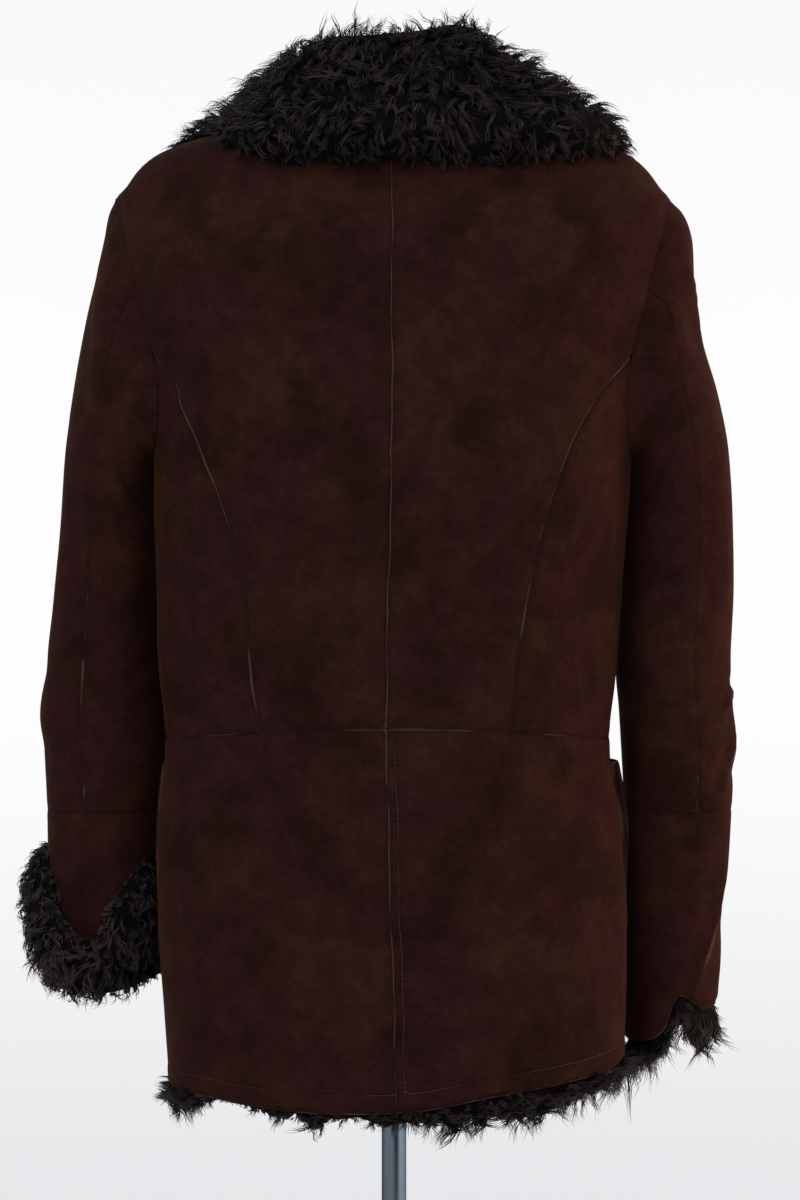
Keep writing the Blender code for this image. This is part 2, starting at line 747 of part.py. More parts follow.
def sleeve_point(turn, ring, side):
    """Point of the sleeve's outer surface: the armhole's shape fades into the planar rings."""
    turn, ring = np.broadcast_arrays(np.asarray(turn, dtype=float), np.asarray(ring, dtype=float))
    inward = armhole_frame(turn, side)[1]
    start = armhole_point(turn, side) + inward * SEAM_GAP
    share = np.clip(1 - ring / ARMHOLE_BLEND, 0, 1)[..., None] ** 2
    moved = start - sleeve_planar(turn, np.zeros_like(ring), side)
    return sleeve_planar(turn, ring, side) + share * moved


def sleeve_out(turn, ring, side):
    """Direction out of the sleeve's surface; at the armhole it turns from the body's to the hole's."""
    turn, ring = np.broadcast_arrays(np.asarray(turn, dtype=float), np.asarray(ring, dtype=float))
    far = np.maximum(ring, 1.0)
    step = 1e-3
    along = sleeve_point(turn + step, far, side) - sleeve_point(turn - step, far, side)
    down = sleeve_point(turn, far + step, side) - sleeve_point(turn, far - step, side)
    own = unit(np.cross(down, along)) * side
    normal, inward = armhole_frame(turn, side)
    under = math.pi / 2 * ramp(-np.cos(turn))[..., None]
    rim = normal * np.cos(under) - inward * np.sin(under)
    share = np.clip(ring, 0, 1)[..., None]
    return unit(rim * (1 - share) + own * share)


def sleeve_wall(name, turns, rings, side, around=False):
    """A wall over a grid of turns and rings of the sleeve."""
    outer = sleeve_point(turns, rings, side)
    inner = outer - sleeve_out(turns, rings, side) * WALL
    return wall(name, outer, inner, SUEDE, around)


def sleeve_upper(side):
    """Top and under panels of the sleeve, between the armhole and the cuff seam."""
    rings = np.array(UPPER_SLEEVE_RINGS)
    rings[-1] -= 0.004
    for part, start, stop in (("top", FRONT_SEAM - 360, BACK_SEAM), ("under", BACK_SEAM, FRONT_SEAM)):
        turns = np.radians(np.arange(start, stop + 1, ARMHOLE_STEP, dtype=float))
        grid_turns, grid_rings = np.meshgrid(turns, rings)
        for column, way in ((0, 1), (-1, -1)):
            edge = sleeve_point(grid_turns[:, column], rings, side)
            ahead = sleeve_point(grid_turns[:, column] + way * 1e-3, rings, side)
            grid_turns[:, column] += way * 1e-3 * (SEAM_GAP / 2) / np.linalg.norm(ahead - edge, axis=-1)
        sleeve_wall(f"sleeve_{part}_{SIDE_NAMES[side]}", grid_turns, grid_rings, side)


def ring_at(height, side):
    """Ring of the sleeve at a height below the elbow, where rings are level."""
    heights = SLEEVE[side]["outer_z"]
    return np.interp(-height, -heights, np.arange(len(heights), dtype=float))


def full_turns(step):
    """Turns once round a sleeve."""
    return np.radians(np.arange(0, 360, step, dtype=float))


def sleeve_lower(side):
    """Cuff panel, a tube from the horizontal seam to the sleeve's edge."""
    turns = full_turns(ARMHOLE_STEP)
    edge = read(CUFF_EDGE[side], "height", np.degrees(turns))
    share = np.linspace(0, 1, CUFF_ROWS)[:, None]
    top = SLEEVE[side]["outer_z"][CUFF_SEAM_RING] - SEAM_GAP
    rings = ring_at(top * (1 - share) + edge * share, side)
    sleeve_wall(f"sleeve_lower_{SIDE_NAMES[side]}", turns * np.ones_like(rings), rings, side, around=True)


def cuff_fur_left():
    """Fur cuff turned back over the left sleeve's end, with a V open at the back."""
    turns = full_turns(ARMHOLE_STEP)
    degrees = np.degrees(turns)
    away = np.abs((degrees - NOTCH_TURN + 180) % 360 - 180)
    top = TURNBACK_NOTCH + (TURNBACK_TOP - TURNBACK_NOTCH) * np.minimum(1, away / NOTCH_REACH)
    share = TURNBACK_ACROSS["share"][:, None]
    height = TURNBACK_BOTTOM * (1 - share) + top * share
    rings = ring_at(np.maximum(height, CUFF_EDGE[LEFT]["height"][0]), LEFT)
    around = turns * np.ones_like(rings)
    base = sleeve_point(around, rings, LEFT)
    base[..., 2] = height
    out = sleeve_out(around, rings, LEFT)
    tuft = 1 + TURNBACK_TUFT * np.sin(5 * around + 9 * share) * np.sin(math.pi * share)
    thick = read(TURNBACK_FUR, "thickness", degrees) * TURNBACK_ACROSS["fullness"][:, None] * tuft
    wall("cuff_fur_left", base + out * thick[..., None], base + out * LAY_GAP, FUR, around=True)


def cuff_fur_right():
    """Fur inside the right sleeve's end, which shows below its edge."""
    turns = full_turns(ARMHOLE_STEP)
    edge = read(CUFF_EDGE[RIGHT], "height", np.degrees(turns))
    tuft = PEEK_TUFT * np.sin(7 * turns)
    above = np.array(PEEK_ROWS)[:, None]
    below = ramp(above / PEEK_ROWS[-1])
    height = edge + above + tuft * below
    rings = ring_at(np.maximum(height, SLEEVE[RIGHT]["outer_z"][-1]), RIGHT)
    around = turns * np.ones_like(rings)
    base = sleeve_point(around, rings, RIGHT)
    base[..., 2] = height
    out = sleeve_out(around, rings, RIGHT)
    flare = PEEK_FLARE * below * np.clip(0.4 + 0.6 * np.cos(around - 0.6), 0.1, 1)
    outer = -WALL - LAY_GAP + flare
    inner = outer - PEEK_FUR
    wall("cuff_fur_right", base + out * outer[..., None], base + out * inner[..., None], FUR, around=True)


# ---------------------------------------------------------------- fur pieces on the body


def collar_half(side):
    """Under and upper side of half a collar, from the centre back to its front end."""
    rows = COLLAR[side]
    station = np.linspace(0, 1, COLLAR_STATIONS) ** 0.9
    place_in_table = station * (len(rows["angle"]) - 1)
    knots = np.arange(len(rows["angle"]), dtype=float)

    def at(column):
        return smooth(knots, rows[column], place_in_table)[:, None]

    across = np.array(COLLAR_SHARES)[None, :]
    angle = np.radians(at("angle") * (1 - across) + at("edge_angle") * across)
    height = at("neck_height") * (1 - across) + at("edge_height") * across
    under = coat_point(angle, height, side, FACET_GAP)
    normal = body_normal(angle, height, side)
    lean = ramp(across / 0.9)[..., None]
    way = unit(np.array([0, 0, 1.0]) * (1 - lean) + normal * lean)
    thick = at("edge_fur") + (at("rise") - at("edge_fur")) * (1 - across) ** 0.9
    edge = np.maximum(across - COLLAR_ROUND_FROM, 0) / (1 - COLLAR_ROUND_FROM)
    rounded = np.sqrt(np.maximum(1 - edge**2, 0.12))
    wave = np.sin(COLLAR_TUFT_ALONG * np.arange(COLLAR_STATIONS))[:, None]
    tuft = COLLAR_TUFT * wave * np.cos(COLLAR_TUFT_ACROSS * across)
    upper = under + way * (thick * rounded + tuft)[..., None]
    return upper, under


def collar():
    """Fur collar lying round the neck, from one front to the other."""
    upper_left, under_left = collar_half(LEFT)
    upper_right, under_right = collar_half(RIGHT)
    middle_upper = (upper_left[:1] + upper_right[:1]) / 2
    middle_under = (under_left[:1] + under_right[:1]) / 2
    upper = np.concatenate([upper_right[:0:-1], middle_upper, upper_left[1:]])
    under = np.concatenate([under_right[:0:-1], middle_under, under_left[1:]])
    wall("collar", upper, under, FUR)


def lapel(side):
    """Fur lapel lying on the chest, from the front edge out to its own edge."""
    share = LAPEL_ACROSS["share"]
    front = np.maximum(read(FRONT_EDGE, "out", LAPEL["front_height"]), LAPEL_FRONT_LEAST)
    out = front[:, None] * (1 - share) + LAPEL["outer_out"][:, None] * share
    tall = LAPEL["front_height"][:, None] * (1 - share) + LAPEL["outer_height"][:, None] * share
    angle = front_angle(out, tall)
    number = np.arange(len(front))
    ends = np.interp(number, LAPEL_ENDS["row"], LAPEL_ENDS["fullness"])[:, None]
    tuft = 1 + LAPEL_TUFT * np.sin(2.1 * number)[:, None] * np.cos(5 * share)
    thick = LAPEL_FUR * LAPEL_ACROSS["fullness"] * ends * tuft
    under = coat_point(angle, tall, side, FACET_GAP)
    upper = coat_point(angle, tall, side, FACET_GAP + thick)
    wall(f"lapel_{SIDE_NAMES[side]}", upper, under, FUR)


def hem_fur(name, side, first, last, count):
    """Strip of fur inside the hem, showing below it in tufts."""
    turns = np.linspace(first, last, count)
    share = HEM_FUR_ACROSS["share"][:, None]
    tuft = HEM_FUR_TUFT * np.sin(2.4 * np.arange(count))
    below = HEM_FUR_BELOW + HEM_FUR_LONGER * np.cos(turns) ** 2 + tuft
    height = HEM + HEM_FUR_ABOVE * (1 - share) - below * share
    angle = turns * np.ones_like(height)
    at_hem = np.maximum(height, HEM)
    base = body_point(angle, at_hem, side)
    base[..., 2] += height - at_hem
    normal = body_normal(angle, at_hem, side)
    outer = -WALL - HEM_FUR_INSET + HEM_FUR_FLARE * ramp(share * 2 - 1)
    inner = outer - HEM_FUR * HEM_FUR_ACROSS["fullness"][:, None]
    wall(name, base + normal * outer[..., None], base + normal * inner[..., None], FUR)


def hem_furs():
    """Four strips of hem fur, one for each lower panel."""
    for side in (LEFT, RIGHT):
        quarter = math.pi / 2
        seam = stepped(quarter, np.array([HEM]), side, -SEAM_GAP)[0]
        middle = stepped(0.0, np.array([HEM]), side, SEAM_GAP)[0]
        hem_fur(f"hem_fur_back_{SIDE_NAMES[side]}", side, middle, seam, 13)
        seam = stepped(quarter, np.array([HEM]), side, SEAM_GAP)[0]
        front = front_angle(np.array([HEM_FUR_FRONT_END]), np.array([HEM]))[0]
        hem_fur(f"hem_fur_front_{SIDE_NAMES[side]}", side, seam, front, 12)


def buttons():
    """Buttons on the right front, which lies on top."""
    half = BUTTON_THICK / 2
    profile = [
        (0, half - BUTTON_DISH),
        (BUTTON_RADIUS * 0.62, half - BUTTON_DISH),
        (BUTTON_RADIUS * 0.74, half),
        (BUTTON_RADIUS - BUTTON_RIM, half),
        (BUTTON_RADIUS, half - BUTTON_RIM),
        (BUTTON_RADIUS, -half + BUTTON_RIM),
        (BUTTON_RADIUS - BUTTON_RIM, -half),
        (0, -half),
    ]
    for number, (height, stand_off) in enumerate(zip(*BUTTONS.values()), start=1):
        point = coat_point(math.pi, height, RIGHT)
        normal = body_normal(math.pi, height, RIGHT)
        rim_height = height + np.array([-1, 0, 1]) * BUTTON_RADIUS
        bulge = np.max((coat_point(math.pi, rim_height, RIGHT) - point) @ normal)
        point = point + normal * (half + stand_off + bulge)
        lean = math.atan2(-normal[1], normal[2])
        turned(f"button_{number}", profile, 16, HORN, tuple(point), (lean, 0, 0))


# ---------------------------------------------------------------- dress form


def form_torso():
    """Limbless form inside the coat: it carries the coat's shoulders."""
    heights = FORM_ROWS + FORM_SHOULDER_ROWS
    around = np.linspace(0, 2 * math.pi, FORM_AROUND, endpoint=False)
    angle = np.minimum(around, 2 * math.pi - around)
    rings = []
    for height in heights:
        inset = read(FORM, "inset", height) + FORM_EDGE * (height == heights[0])
        left = coat_point(angle, height, LEFT, -inset)
        right = coat_point(angle, height, RIGHT, -inset)
        ring = np.where((around <= math.pi)[:, None], left, right)
        level = ramp((height - FORM_LEVEL) / FORM_LEVEL_FADE)
        ring[:, 2] = height * (1 - level) + ring[:, 2] * level
        rings.append(ring)
    for height, width, back, front in zip(*FORM_NECK.values()):
        depth = np.where(np.cos(around) > 0, back, front)
        x = FORM_MIDDLE + width * np.sin(around)
        rings.append(np.stack([x, depth * np.cos(around), height * np.ones_like(x)], axis=-1))
    loft("form_torso", np.array(rings), CANVAS)
    return heights[0]


def form_stand(torso_bottom):
    """Round base with a hub, and the pole that carries the torso."""
    turned(
        "form_base",
        [
            (0, HUB_TOP),
            (HUB_RADIUS - 0.004, HUB_TOP),
            (HUB_RADIUS, HUB_TOP - 0.004),
            (HUB_RADIUS, BASE_THICK + 0.010),
            (HUB_RADIUS + 0.012, BASE_THICK),
            (BASE_RADIUS - 0.004, BASE_THICK - 0.003),
            (BASE_RADIUS, BASE_THICK - 0.006),
            (BASE_RADIUS, 0),
            (0, 0),
        ],
        40,
        CHROME,
    )
    length = torso_bottom - HUB_TOP - 2 * SEAM_GAP
    bpy.ops.mesh.primitive_cylinder_add(
        vertices=24, radius=POLE_RADIUS, depth=length, location=(0, 0, HUB_TOP + SEAM_GAP + length / 2)
    )
    pole = bpy.context.active_object
    pole.name = "form_pole"
    pole.data.name = "form_pole"
    for holder in pole.users_collection:
        holder.objects.unlink(pole)
    bpy.data.collections["shearling_coat"].objects.link(pole)
    pole.data.shade_smooth()
    pole.data.set_sharp_from_angle(angle=math.radians(50))
    dress(pole, CHROME)


def main():
    """Build the coat and the form."""
    for item in list(bpy.data.objects):
        bpy.data.objects.remove(item)
    collection = bpy.data.collections.new("shearling_coat")
    bpy.context.scene.collection.children.link(collection)
    for side in (LEFT, RIGHT):
        back_center(side)
        back_side(side)
        back_lower(side)
        front_upper(side)
        front_lower(side)
        pocket(side)
        sleeve_upper(side)
        sleeve_lower(side)
        lapel(side)
    collar()
    cuff_fur_left()
    cuff_fur_right()
    hem_furs()
    buttons()
    form_stand(form_torso())


main()
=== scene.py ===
"""Looks of a shearling coat on a limbless dress form.

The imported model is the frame: each piece made here follows the surface that its solid follows, in metres,
with +Z up, the coat's back at +Y and the wearer's left at +X. Angles round the body start at the centre back
and grow towards the centre front on each side. Turns round a sleeve start at its outermost line and run
through the back.
"""

from __future__ import annotations

import logging
import math
from dataclasses import dataclass, field
from enum import Enum
from typing import Callable

import bpy
import numpy as np
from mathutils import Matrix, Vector

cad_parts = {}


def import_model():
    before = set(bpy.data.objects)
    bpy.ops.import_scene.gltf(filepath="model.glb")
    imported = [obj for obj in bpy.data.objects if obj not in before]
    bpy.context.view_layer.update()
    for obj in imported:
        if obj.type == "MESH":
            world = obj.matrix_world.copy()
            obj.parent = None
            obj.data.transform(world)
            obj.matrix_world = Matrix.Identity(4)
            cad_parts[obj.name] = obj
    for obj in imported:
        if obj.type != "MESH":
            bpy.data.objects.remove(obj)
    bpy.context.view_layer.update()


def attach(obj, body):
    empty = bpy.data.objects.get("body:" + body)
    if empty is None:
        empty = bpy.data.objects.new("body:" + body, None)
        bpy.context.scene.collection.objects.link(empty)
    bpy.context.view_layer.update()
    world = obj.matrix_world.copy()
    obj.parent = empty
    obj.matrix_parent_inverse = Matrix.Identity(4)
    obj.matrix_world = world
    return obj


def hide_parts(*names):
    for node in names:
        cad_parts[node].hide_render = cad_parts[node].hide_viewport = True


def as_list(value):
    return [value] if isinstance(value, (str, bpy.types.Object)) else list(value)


LOG = logging.getLogger("shearling_coat")
BODY = "root"
# Starts of the random draws of each piece of fur.
COLLAR_SEED, LAPEL_SEED, LEFT_CUFF_SEED, RIGHT_CUFF_SEED = 7, 27, 37, 47
HEM_BACK_SEED, HEM_FRONT_SEED = 57, 67

Array = np.ndarray
UP, DOWN = np.array((0, 0, 1.0)), np.array((0, 0, -1.0))
Triple = tuple[float, float, float]


# ---------------------------------------------------------------- numbers


class Side(Enum):
    """Side of the body, named for the wearer; its value is the sign of X."""

    LEFT = 1
    RIGHT = -1

    @property
    def word(self) -> str:
        """The side as it stands in the nodes' names."""
        return self.name.lower()


def ramp(value: Array | float) -> Array:
    """0 below 0, 1 above 1, and t * t * (3 - 2 t) between."""
    t = np.clip(value, 0, 1)
    return t * t * (3 - 2 * t)


def unit(vectors: Array) -> Array:
    """Vectors divided by their length."""
    return vectors / np.maximum(np.linalg.norm(vectors, axis=-1, keepdims=True), 1e-12)


def spread(value: Array, power: float) -> Array:
    """sign(value) * |value| ** power."""
    return np.sign(value) * np.abs(value) ** power


def monotone(knots: Array, values: Array, at: Array | float) -> Array:
    """Monotone cubic through knots, which never overshoots between two of them.

    Args:
        knots: Rising places.
        values: Value at each knot.
        at: Places to read.

    Returns:
        Values at those places.
    """
    at = np.clip(np.asarray(at, dtype=float), knots[0], knots[-1])
    step = np.diff(knots)
    slope = np.diff(values) / step
    same_way = slope[1:] * slope[:-1] > 0
    harmonic = 2 * slope[1:] * slope[:-1] / np.where(same_way, slope[1:] + slope[:-1], 1)
    tangent = np.concatenate(([slope[0]], np.where(same_way, harmonic, 0), [slope[-1]]))
    index = np.clip(np.searchsorted(knots, at) - 1, 0, len(step) - 1)
    t = (at - knots[index]) / step[index]
    rise = values[index + 1] - values[index]
    bend_in = tangent[index] * step[index] - rise
    bend_out = rise - tangent[index + 1] * step[index]
    return values[index] + t * rise + t * (1 - t) * ((1 - t) * bend_in + t * bend_out)


class Table:
    """Rows of numbers as named columns, read by a monotone cubic along the first column."""

    def __init__(self, columns: str, *rows: tuple[float, ...]) -> None:
        """Name the columns and keep the rows."""
        self.columns = dict(zip(columns.split(), np.array(rows, dtype=float).T))
        self.knots = next(iter(self.columns.values()))

    def __getitem__(self, column: str) -> Array:
        """A whole column."""
        return self.columns[column]

    def read(self, column: str, at: Array | float) -> Array:
        """Value of a column at a place along the first one."""
        return monotone(self.knots, self.columns[column], at)


def full_turn(steps: int) -> Array:
    """Angles of a full turn in even steps, without its end."""
    return np.linspace(0, 2 * math.pi, steps, endpoint=False)


def run_along(line: Array) -> Array:
    """Length of a line of points up to each of them."""
    return np.concatenate(([0], np.cumsum(np.linalg.norm(np.diff(line, axis=0), axis=-1))))


def evened(curve: Callable[[Array], Array], first: float, last: float, step: float) -> Array:
    """Parameters of points that lie evenly along a curve.

    Args:
        curve: Gives the points of an array of parameters.
        first: Parameter at the start.
        last: Parameter at the end.
        step: Greatest distance between two points, in metres.

    Returns:
        Parameters, the first and last among them.
    """
    fine = np.linspace(first, last, 600)
    length = run_along(curve(fine))
    count = max(2, int(math.ceil(length[-1] / step)) + 1)
    return np.interp(np.linspace(0, length[-1], count), length, fine)


def densified(line: Array, step: float) -> Array:
    """The line with points no further apart than a step."""
    lengths = run_along(line)
    at = np.linspace(0, lengths[-1], max(2, int(lengths[-1] / step)))
    return np.stack([np.interp(at, lengths, line[:, axis]) for axis in range(line.shape[1])], axis=-1)


def edge_shares(count: int, close: tuple[float, ...] = (0.006, 0.016, 0.032)) -> Array:
    """Shares from 0 to 1 that crowd near both ends, where a panel's edge rounds down."""
    middle = np.linspace(close[-1], 1 - close[-1], count)
    start = np.array((0.0, *close[:-1]))
    return np.concatenate([start, middle, 1 - start[::-1]])


# ---------------------------------------------------------------- meshes


@dataclass
class Part:
    """A mesh in the making: points, faces, and what each point or face carries."""

    name: str
    points: Array
    quads: Array
    triangles: Array = field(default_factory=lambda: np.zeros((0, 3), dtype=np.int64))
    quad_slots: Array | None = None
    layers: dict[str, Array] = field(default_factory=dict)
    sharp: float | None = 50.0

    def volume(self) -> float:
        """Six times the signed volume inside the faces."""
        corners = self.points[self.quads]
        first = np.einsum("ij,ij->i", corners[:, 0], np.cross(corners[:, 1], corners[:, 2])).sum()
        second = np.einsum("ij,ij->i", corners[:, 0], np.cross(corners[:, 2], corners[:, 3])).sum()
        tips = self.points[self.triangles]
        third = np.einsum("ij,ij->i", tips[:, 0], np.cross(tips[:, 1], tips[:, 2])).sum()
        return float(first + second + third)

    def build(self, *finishes: bpy.types.Material) -> bpy.types.Object:
        """Make the object, its faces turned outwards.

        Args:
            finishes: Materials in the order of the faces' slots.

        Returns:
            The object, which rides on the coat's body.
        """
        if self.volume() < 0:
            self.quads = self.quads[:, ::-1]
            self.triangles = self.triangles[:, ::-1]
        mesh = bpy.data.meshes.new(self.name)
        loops = np.concatenate([self.quads.ravel(), self.triangles.ravel()]).astype(np.int32)
        quad_starts = np.arange(len(self.quads)) * 4
        tip_starts = len(self.quads) * 4 + np.arange(len(self.triangles)) * 3
        starts = np.concatenate([quad_starts, tip_starts]).astype(np.int32)
        mesh.vertices.add(len(self.points))
        mesh.vertices.foreach_set("co", self.points.astype(np.float32).ravel())
        mesh.loops.add(len(loops))
        mesh.loops.foreach_set("vertex_index", loops)
        mesh.polygons.add(len(starts))
        mesh.polygons.foreach_set("loop_start", starts)
        if self.quad_slots is not None:
            slots = np.concatenate([self.quad_slots, np.zeros(len(self.triangles))]).astype(np.int32)
            mesh.polygons.foreach_set("material_index", slots)
        mesh.update(calc_edges=True)
        mesh.shade_smooth()
        if self.sharp is not None:
            mesh.set_sharp_from_angle(angle=math.radians(self.sharp))
        for name, values in self.layers.items():
            layer = mesh.attributes.new(name, "FLOAT", "POINT")
            layer.data.foreach_set("value", values.astype(np.float32).ravel())
        item = bpy.data.objects.new(self.name, mesh)
        bpy.context.scene.collection.objects.link(item)
        for finish in finishes:
            mesh.materials.append(finish)
        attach(item, BODY)
        return item


def looped(grid: Array) -> Array:
    """Grid with its first column once more behind its last one."""
    return np.concatenate([grid, grid[:, :1]], axis=1)


def cell_areas(grid: Array) -> Array:
    """Area of each cell of a grid of points: half the cross product of its diagonals."""
    crossed = np.cross(grid[1:, 1:] - grid[:-1, :-1], grid[1:, :-1] - grid[:-1, 1:])
    return np.linalg.norm(crossed, axis=-1) / 2


def grid_quads(rows: int, columns: int, around: bool, start: int = 0) -> Array:
    """Quads of a grid of points, closed round its columns where asked."""
    index = np.arange(rows * columns).reshape(rows, columns) + start
    if around:
        index = looped(index)
    corners = (index[:-1, :-1], index[:-1, 1:], index[1:, 1:], index[1:, :-1])
    return np.stack([corner.ravel() for corner in corners], axis=1)


def wall_part(name: str, outer: Array, inner: Array, around: bool = False) -> Part:
    """Closed wall between an outer and an inner grid; the inner faces carry slot 1 and the rims slot 0.

    Args:
        name: Name of the piece.
        outer: Outer grid, rows by columns by 3.
        inner: Inner grid of the same shape.
        around: Whether the columns close into a tube.

    Returns:
        The wall's mesh.
    """
    rows, columns = outer.shape[:2]
    face = grid_quads(rows, columns, around)
    back = face[:, ::-1] + rows * columns
    index = np.arange(rows * columns).reshape(rows, columns)
    if around:
        index = looped(index)
    under = index + rows * columns
    rims = [(index[0, 1:], index[0, :-1], under[0, :-1], under[0, 1:])]
    rims.append((index[-1, :-1], index[-1, 1:], under[-1, 1:], under[-1, :-1]))
    if not around:
        rims.append((index[:-1, 0], index[1:, 0], under[1:, 0], under[:-1, 0]))
        rims.append((index[1:, -1], index[:-1, -1], under[:-1, -1], under[1:, -1]))
    rim = np.concatenate([np.stack(corners, axis=1) for corners in rims])
    quads = np.concatenate([face, back, rim])
    slots = np.concatenate([np.zeros(len(face)), np.ones(len(back)), np.zeros(len(rim))])
    points = np.concatenate([outer.reshape(-1, 3), inner.reshape(-1, 3)])
    return Part(name, points, quads, quad_slots=slots)


def end_fans(rows: int, columns: int, start: int = 0) -> Array:
    """Triangles that close both ends of a tube, whose two centre points come right after its rings."""
    ring = np.arange(columns) + start
    after = np.roll(ring, -1)
    last = (rows - 1) * columns
    middle = np.full(columns, start + rows * columns)
    first_end = np.stack([after, ring, middle], axis=1)
    last_end = np.stack([ring + last, after + last, middle + 1], axis=1)
    return np.concatenate([first_end, last_end])


def lathe(profile: Array, steps: int) -> tuple[Array, Array, Array]:
    """Surface of revolution: (x, y, z) = (r cos a, r sin a, z), its two ends closed by a centre point.

    Args:
        profile: Rows of (radius, height), none of zero radius.
        steps: Points round the axis.

    Returns:
        Points, quads and triangles.
    """
    turn = full_turn(steps)
    x = profile[:, :1] * np.cos(turn)
    y = profile[:, :1] * np.sin(turn)
    z = profile[:, 1:] * np.ones_like(x)
    ends = [(0, 0, profile[0, 1]), (0, 0, profile[-1, 1])]
    points = np.concatenate([np.stack([x, y, z], axis=-1).reshape(-1, 3), ends])
    return points, grid_quads(len(profile), steps, True), end_fans(len(profile), steps)


# ---------------------------------------------------------------- the coat's surface


@dataclass(frozen=True)
class CoatForm:
    """Outer surface of the coat's body: superellipse sections whose half sizes follow a table."""

    hem: float = 0.640
    waist: float = 0.915
    underarm: float = 1.115
    shoulder: float = 1.318
    neck: float = 1.388
    wall: float = 0.003
    seam_gap: float = 0.0003
    squareness: float = 2.3
    waist_dip: float = 0.010
    waist_dip_reach: float = 0.060
    neck_scoop: float = 0.020
    neck_scoop_from: float = 1.300
    hem_tilt: float = 0.055
    hem_drop: float = 0.004
    hem_rise_over: float = 0.12
    hem_rise: Table = Table(
        "degrees rise",
        (-180, 0.0), (-120, 0.006), (-90, 0.011), (-50, 0.009), (-22, 0.0065), (0, 0.0), (12, 0.0015),
        (20, 0.0030), (36, 0.0072), (47, 0.0100), (57, 0.0108), (90, 0.0095), (130, 0.005), (180, 0.0),
    )
    sections: Table = Table(
        "height half_width back_depth front_depth middle",
        (0.640, 0.1745, 0.135, 0.135, -0.002), (0.700, 0.1775, 0.133, 0.136, -0.001),
        (0.760, 0.1795, 0.130, 0.138, 0.001), (0.820, 0.1785, 0.125, 0.137, 0.003),
        (0.860, 0.1755, 0.120, 0.134, 0.004), (0.900, 0.1710, 0.113, 0.1270, 0.005),
        (0.915, 0.1708, 0.112, 0.1260, 0.005), (0.970, 0.1765, 0.114, 0.1275, 0.005),
        (1.030, 0.1790, 0.122, 0.1360, 0.003), (1.080, 0.1825, 0.130, 0.148, 0.002),
        (1.115, 0.1840, 0.134, 0.148, 0.001), (1.160, 0.1920, 0.137, 0.142, 0.001),
        (1.210, 0.2020, 0.136, 0.128, 0.001), (1.260, 0.2100, 0.128, 0.110, 0.001),
        (1.295, 0.2140, 0.112, 0.092, 0.001), (1.318, 0.2135, 0.096, 0.080, 0.001),
        (1.328, 0.2055, 0.090, 0.075, 0.001), (1.342, 0.1935, 0.083, 0.070, 0.001),
        (1.351, 0.1820, 0.079, 0.067, 0.001), (1.360, 0.1600, 0.076, 0.066, 0.002),
        (1.370, 0.1250, 0.073, 0.067, 0.002), (1.380, 0.0950, 0.070, 0.070, 0.003),
        (1.388, 0.0760, 0.068, 0.074, 0.003),
    )
    armhole: Table = Table(
        "rise back_reach front_reach",
        (0.00, 33.0, 36.0), (0.25, 30.0, 37.0), (0.45, 27.0, 37.0), (0.62, 24.0, 35.0), (0.80, 25.0, 31.0),
        (1.00, 28.0, 28.0),
    )
    princess_meets: float = 105
    princess_tip: float = 0.0012
    princess: Table = Table(
        "height out",
        (0.915, 0.0920), (0.950, 0.0955), (1.020, 0.1040), (1.080, 0.1180), (1.120, 0.1310),
        (1.160, 0.1530),
    )
    princess_shift: Table = Table(
        "height left",
        (0.915, 0.002), (0.950, 0.005), (1.010, 0.004), (1.090, 0.009), (1.115, 0.012), (1.150, 0.010),
        (1.172, 0.0),
    )
    center_gap: float = 0.00002
    center_waver: tuple[Triple, ...] = ((0.0005, 57, 0.6), (0.0003, 131, 0.0))
    sleeve_radius: float = 0.048
    front_edge: Table = Table(
        "height out",
        (0.640, -0.0200), (1.075, -0.0200), (1.150, 0.0010), (1.250, 0.0290), (1.330, 0.0500),
        (1.388, 0.0620),
    )

    def point(self, angle: Array, height: Array, side: Side) -> Array:
        """Point of the surface: x = middle + side w |sin a| ** (2/n), y = d cos a ** (2/n), z less the dips.

        Args:
            angle: Angle from the centre back, in radians.
            height: Height before the seams' small waves.
            side: Side of the body.

        Returns:
            Points, with a last axis of three.
        """
        angle, height = np.broadcast_arrays(np.asarray(angle, dtype=float), np.asarray(height, dtype=float))
        sine, cosine = np.sin(angle), np.cos(angle)
        rows = self.sections
        depth = np.where(cosine > 0, rows.read("back_depth", height), rows.read("front_depth", height))
        width = rows.read("half_width", height) * spread(sine, 2 / self.squareness)
        x = rows.read("middle", height) + side.value * width
        y = depth * spread(cosine, 2 / self.squareness)
        dip = self.waist_dip * sine**2 * np.exp(-(((height - self.waist) / self.waist_dip_reach) ** 2))
        backward = np.maximum(cosine, 0) ** 2
        rise = ramp((height - self.neck_scoop_from) / (self.neck - self.neck_scoop_from))
        low = ramp((self.waist - height) / (self.waist - self.hem))
        tilt = (self.hem_tilt * x + self.hem_drop * backward) * low
        near_hem = ramp((self.hem + self.hem_rise_over - height) / self.hem_rise_over)
        tilt = tilt - self.hem_rise.read("rise", side.value * np.degrees(angle)) * near_hem
        return np.stack([x, y, height - dip - self.neck_scoop * backward * rise - tilt], axis=-1)

    def normal(self, angle: Array, height: Array, side: Side) -> Array:
        """Unit normal: the cross product of the steps up and round the surface."""
        step = 1e-4
        along = self.point(angle + step, height, side) - self.point(angle - step, height, side)
        up = self.point(angle, height + step, side) - self.point(angle, height - step, side)
        return unit(np.cross(up, along)) * side.value

    def at(self, angle: Array, height: Array, side: Side, out: Array | float = 0.0) -> Array:
        """Point a distance outside the surface."""
        offset = np.asarray(out, dtype=float)[..., None]
        return self.point(angle, height, side) + self.normal(angle, height, side) * offset

